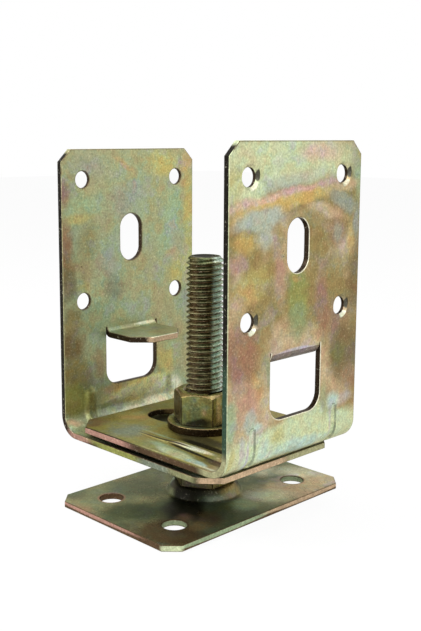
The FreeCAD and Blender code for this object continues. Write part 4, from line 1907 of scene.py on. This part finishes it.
@dataclass
class BasePlate(SubAssembly):
    """The anchor plate with its pressed-up boss.

    Attributes:
        boss: Radius of the boss at its foot and at its top.
        shoulder: Rounding of its upper edge.
        foot: Rounding of its foot.
        ceiling: Height of the recess under it.
    """

    size: tuple[float, float] = (54.0, 79.0)
    thickness: float = 2.0
    corner: float = 4.2
    hole: float = 7.6
    hole_spacing: tuple[float, float] = (29.5, 54.0)
    boss: tuple[float, float] = (12.0, 10.7)
    boss_top: float = 5.5
    shoulder: float = 1.2
    foot: float = 0.8
    boss_wall: float = 1.4
    ceiling: float = 3.5
    stud_hole: float = 6.2
    edge: float = 0.22
    cut: float = 0.2
    finish: ZincPlating = PLATE_ZINC

    def assemble(self) -> list[Workpiece]:
        """Build the plate and dress it."""
        plate = self.build("base_plate_piece")
        return [self.dress(plate, "base", "base_plate", self.finish.material())]

    def build(self, name: str) -> Workpiece:
        """Model the plate.

        Args:
            name: Name of the piece.

        Returns:
            The plate in its place.
        """
        x, y = self.size[0] / 2.0, self.size[1] / 2.0
        hole_x, hole_y = self.hole_spacing[0] / 2.0, self.hole_spacing[1] / 2.0
        corners = [(side, end) for side in (-1.0, 1.0) for end in (-1.0, 1.0)]
        plate = Workpiece.block(name, (-x, -y, 0.0), (x, y, self.thickness))
        for side, end in corners:
            plate.pick(Element.EDGE, lambda spot: spot.x * side > x - NEAR
                       and spot.y * end > y - NEAR)
            bpy.ops.mesh.bevel(offset=self.corner * MM, segments=1, affect="EDGES")
        plate.use(Workpiece.turned("boss", self.outside(), LARGE_ROUND), Blend.JOIN)
        plate.use(Workpiece.turned("boss_recess", self.inside(), LARGE_ROUND), Blend.CUT)
        drills = [("stud_drill", self.stud_hole, (0.0, 0.0, 0.0), 2.0 * PUNCH, LARGE_ROUND)]
        drills += [("anchor_drill", self.hole / 2.0, (side * hole_x, end * hole_y, -1.0), PUNCH,
                    SLOT_ROUND) for side, end in corners]
        for drill, radius, start, length, sides in drills:
            plate.use(Workpiece.rod(drill, radius, start, length, (0, 0, 1), sides), Blend.CUT)
        plate.soften(self.edge, 55.0)
        plate.paint(self.skin)
        plate.finish(35.0)
        return plate

    def skin(self, spot: Vector, way: Vector) -> Skin:
        """Tell what a face of the plate is.

        Args:
            spot: The face's centre.
            way: The way that it faces.

        Returns:
            Sheet, cut edge or rim.
        """
        on_boss = math.hypot(spot.x, spot.y) < self.boss[0] + self.foot + 0.5
        return Skin.SHEET if on_boss else edge_skin(abs(way.z), self.cut)

    @staticmethod
    def arc(centre: Ring, radius: float, start: float, end: float) -> list[Ring]:
        """List the rings of a rounded bend.

        Args:
            centre: Radius and height of the bend's centre.
            radius: Radius of the bend.
            start: First angle in degrees.
            end: Last angle in degrees.

        Returns:
            Radius and height of each ring.
        """
        angles = [math.radians(start + (end - start) * step / 5.0) for step in range(6)]
        return [(centre[0] + radius * math.cos(a), centre[1] + radius * math.sin(a))
                for a in angles]

    def outside(self) -> list[Ring]:
        """List the rings of the boss's outside, from inside the plate to its top.

        Returns:
            Radius and height of each ring.
        """
        foot, top = self.boss[0] + self.foot, self.boss[1] - self.shoulder
        rings = [(foot, self.thickness - 0.5), (foot, self.thickness)]
        rings += self.arc((foot, self.thickness + self.foot), self.foot, 270.0, 200.0)
        rings += self.arc((top, self.boss_top - self.shoulder), self.shoulder, 20.0, 90.0)
        return rings

    def inside(self) -> list[Ring]:
        """List the rings of the recess under the boss.

        Returns:
            Radius and height of each ring.
        """
        mouth, top = self.boss[0] - self.boss_wall + self.shoulder, self.boss[1] - self.boss_wall
        rings = [(mouth, -1.0), (mouth, 0.0)]
        rings += self.arc((mouth, self.shoulder), self.shoulder, 250.0, 200.0)
        return rings + [(top, self.ceiling)]


@dataclass
class Studio:
    """The floor, the lamps and the camera.

    Attributes:
        azimuth: Camera's direction round the part, in degrees.
        elevation: Camera's height angle, in degrees.
        roll: Camera's roll, in degrees.
        distance: Distance from the point that it looks at.
        height: Height of that point on the stud's axis.
        focal: Focal length in pixels of the picture.
        centre: Where that point lies in the picture, in pixels.
        picture: Size of the picture, in pixels.
        floor_glow: How far the floor shows white instead of its own paint.
        daylight: Strength of the light from all round.
        lamps: Name, place, size and power of each lamp.
    """

    azimuth: float = 45.3163
    elevation: float = 9.0026
    roll: float = 0.2799
    distance: float = 302.328
    height: float = 69.6218
    focal: float = 952.6122
    centre: tuple[float, float] = (205.1538, 285.1201)
    picture: tuple[float, float] = (421.0, 631.0)
    sensor: float = 36.0
    floor_glow: float = 0.94
    daylight: float = 0.55
    lamps: tuple[tuple[str, Spot, float, float], ...] = (
        ("key", (-260.0, -420.0, 520.0), 320.0, 3.2),
        ("fill", (420.0, -160.0, 260.0), 300.0, 1.1),
        ("top", (0.0, 60.0, 620.0), 360.0, 2.0),
    )

    def build(self) -> None:
        """Make the studio."""
        self.make_camera()
        self.make_floor()
        self.make_daylight()
        for name, place, size, power in self.lamps:
            self.hang_lamp(name, metres(place), size, power)
        bpy.context.scene.view_settings.view_transform = "Standard"

    def make_camera(self) -> None:
        """Put the camera at the picture's viewpoint."""
        data = bpy.data.cameras.new("picture_camera")
        camera = bpy.data.objects.new("picture_camera", data)
        bpy.context.scene.collection.objects.link(camera)
        a, e, r = (math.radians(v) for v in (self.azimuth, self.elevation, self.roll))
        back = Vector((math.sin(a) * math.cos(e), -math.cos(a) * math.cos(e), math.sin(e)))
        level = Vector((math.cos(a), math.sin(a), 0.0))
        upright = back.cross(level)
        right = level * math.cos(r) + upright * math.sin(r)
        up = upright * math.cos(r) - level * math.sin(r)
        matrix = Matrix((right, up, back)).transposed().to_4x4()
        matrix.translation = (Vector((0, 0, self.height)) + back * self.distance) * MM
        camera.matrix_world = matrix
        wide, tall = self.picture
        longest = max(wide, tall)
        data.sensor_fit = "AUTO"
        data.sensor_width = self.sensor
        data.lens = self.focal / longest * self.sensor
        data.shift_x = (wide / 2.0 - self.centre[0]) / longest
        data.shift_y = (self.centre[1] - tall / 2.0) / longest
        data.clip_start = 0.01
        data.clip_end = 20.0
        bpy.context.scene.camera = camera

    def make_floor(self) -> None:
        """Lay a pale floor that shows white to the camera and in reflections."""
        Workpiece.clear_bench()
        bpy.ops.mesh.primitive_plane_add(size=4.0, location=(0.0, 0.0, -0.0002))
        floor = bpy.context.object
        floor.name = "floor"
        material = bpy.data.materials.new("pale_floor")
        desk = NodeDesk(material)
        paint = desk.node("ShaderNodeBsdfDiffuse")
        paint.inputs["Color"].default_value = (0.9, 0.9, 0.9, 1.0)
        glow = desk.node("ShaderNodeEmission")
        glow.inputs["Strength"].default_value = 1.0
        seen = desk.seen("Is Camera Ray", "Is Glossy Ray")
        desk.show_either(desk.times(seen, self.floor_glow), paint, glow, "ShaderNodeOutputMaterial")
        floor.data.materials.append(material)

    def make_daylight(self) -> None:
        """Light the part evenly from all round, and show white behind it."""
        world = bpy.data.worlds.new("studio_world")
        bpy.context.scene.world = world
        desk = NodeDesk(world)
        plain, white = (desk.node("ShaderNodeBackground") for _ in range(2))
        for background, strength in ((plain, self.daylight), (white, 1.0)):
            background.inputs["Color"].default_value = (1.0, 1.0, 1.0, 1.0)
            background.inputs["Strength"].default_value = strength
        seen = desk.seen("Is Camera Ray", "Is Glossy Ray", "Is Transmission Ray")
        desk.show_either(seen, plain, white, "ShaderNodeOutputWorld")

    @staticmethod
    def hang_lamp(name: str, place: Vector, size: float, power: float) -> None:
        """Hang a soft lamp that looks at the part.

        Args:
            name: Name of the lamp.
            place: Where it hangs, in metres.
            size: Length of its side.
            power: Its power in watts.
        """
        data = bpy.data.lights.new(name, "AREA")
        data.size = size * MM
        data.energy = power
        lamp = bpy.data.objects.new(name, data)
        bpy.context.scene.collection.objects.link(lamp)
        lamp.location = place
        aim = metres((0.0, 0.0, 50.0)) - place
        lamp.rotation_euler = aim.to_track_quat("-Z", "Y").to_euler()


def main() -> None:
    """Build and dress every sub-assembly in order, and report each piece."""
    logging.basicConfig(level=logging.INFO, format="%(name)s: %(message)s")
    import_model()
    Studio().build()
    for group in (BasePlate(), ThreadedStud(), ClampStack(), BracketPair()):
        for piece in group.assemble():
            log.info("%s: %d faces", piece.body.name, len(piece.body.data.polygons))
    Workpiece.clear_bench()
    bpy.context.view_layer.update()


if __name__ == "__main__":
    main()
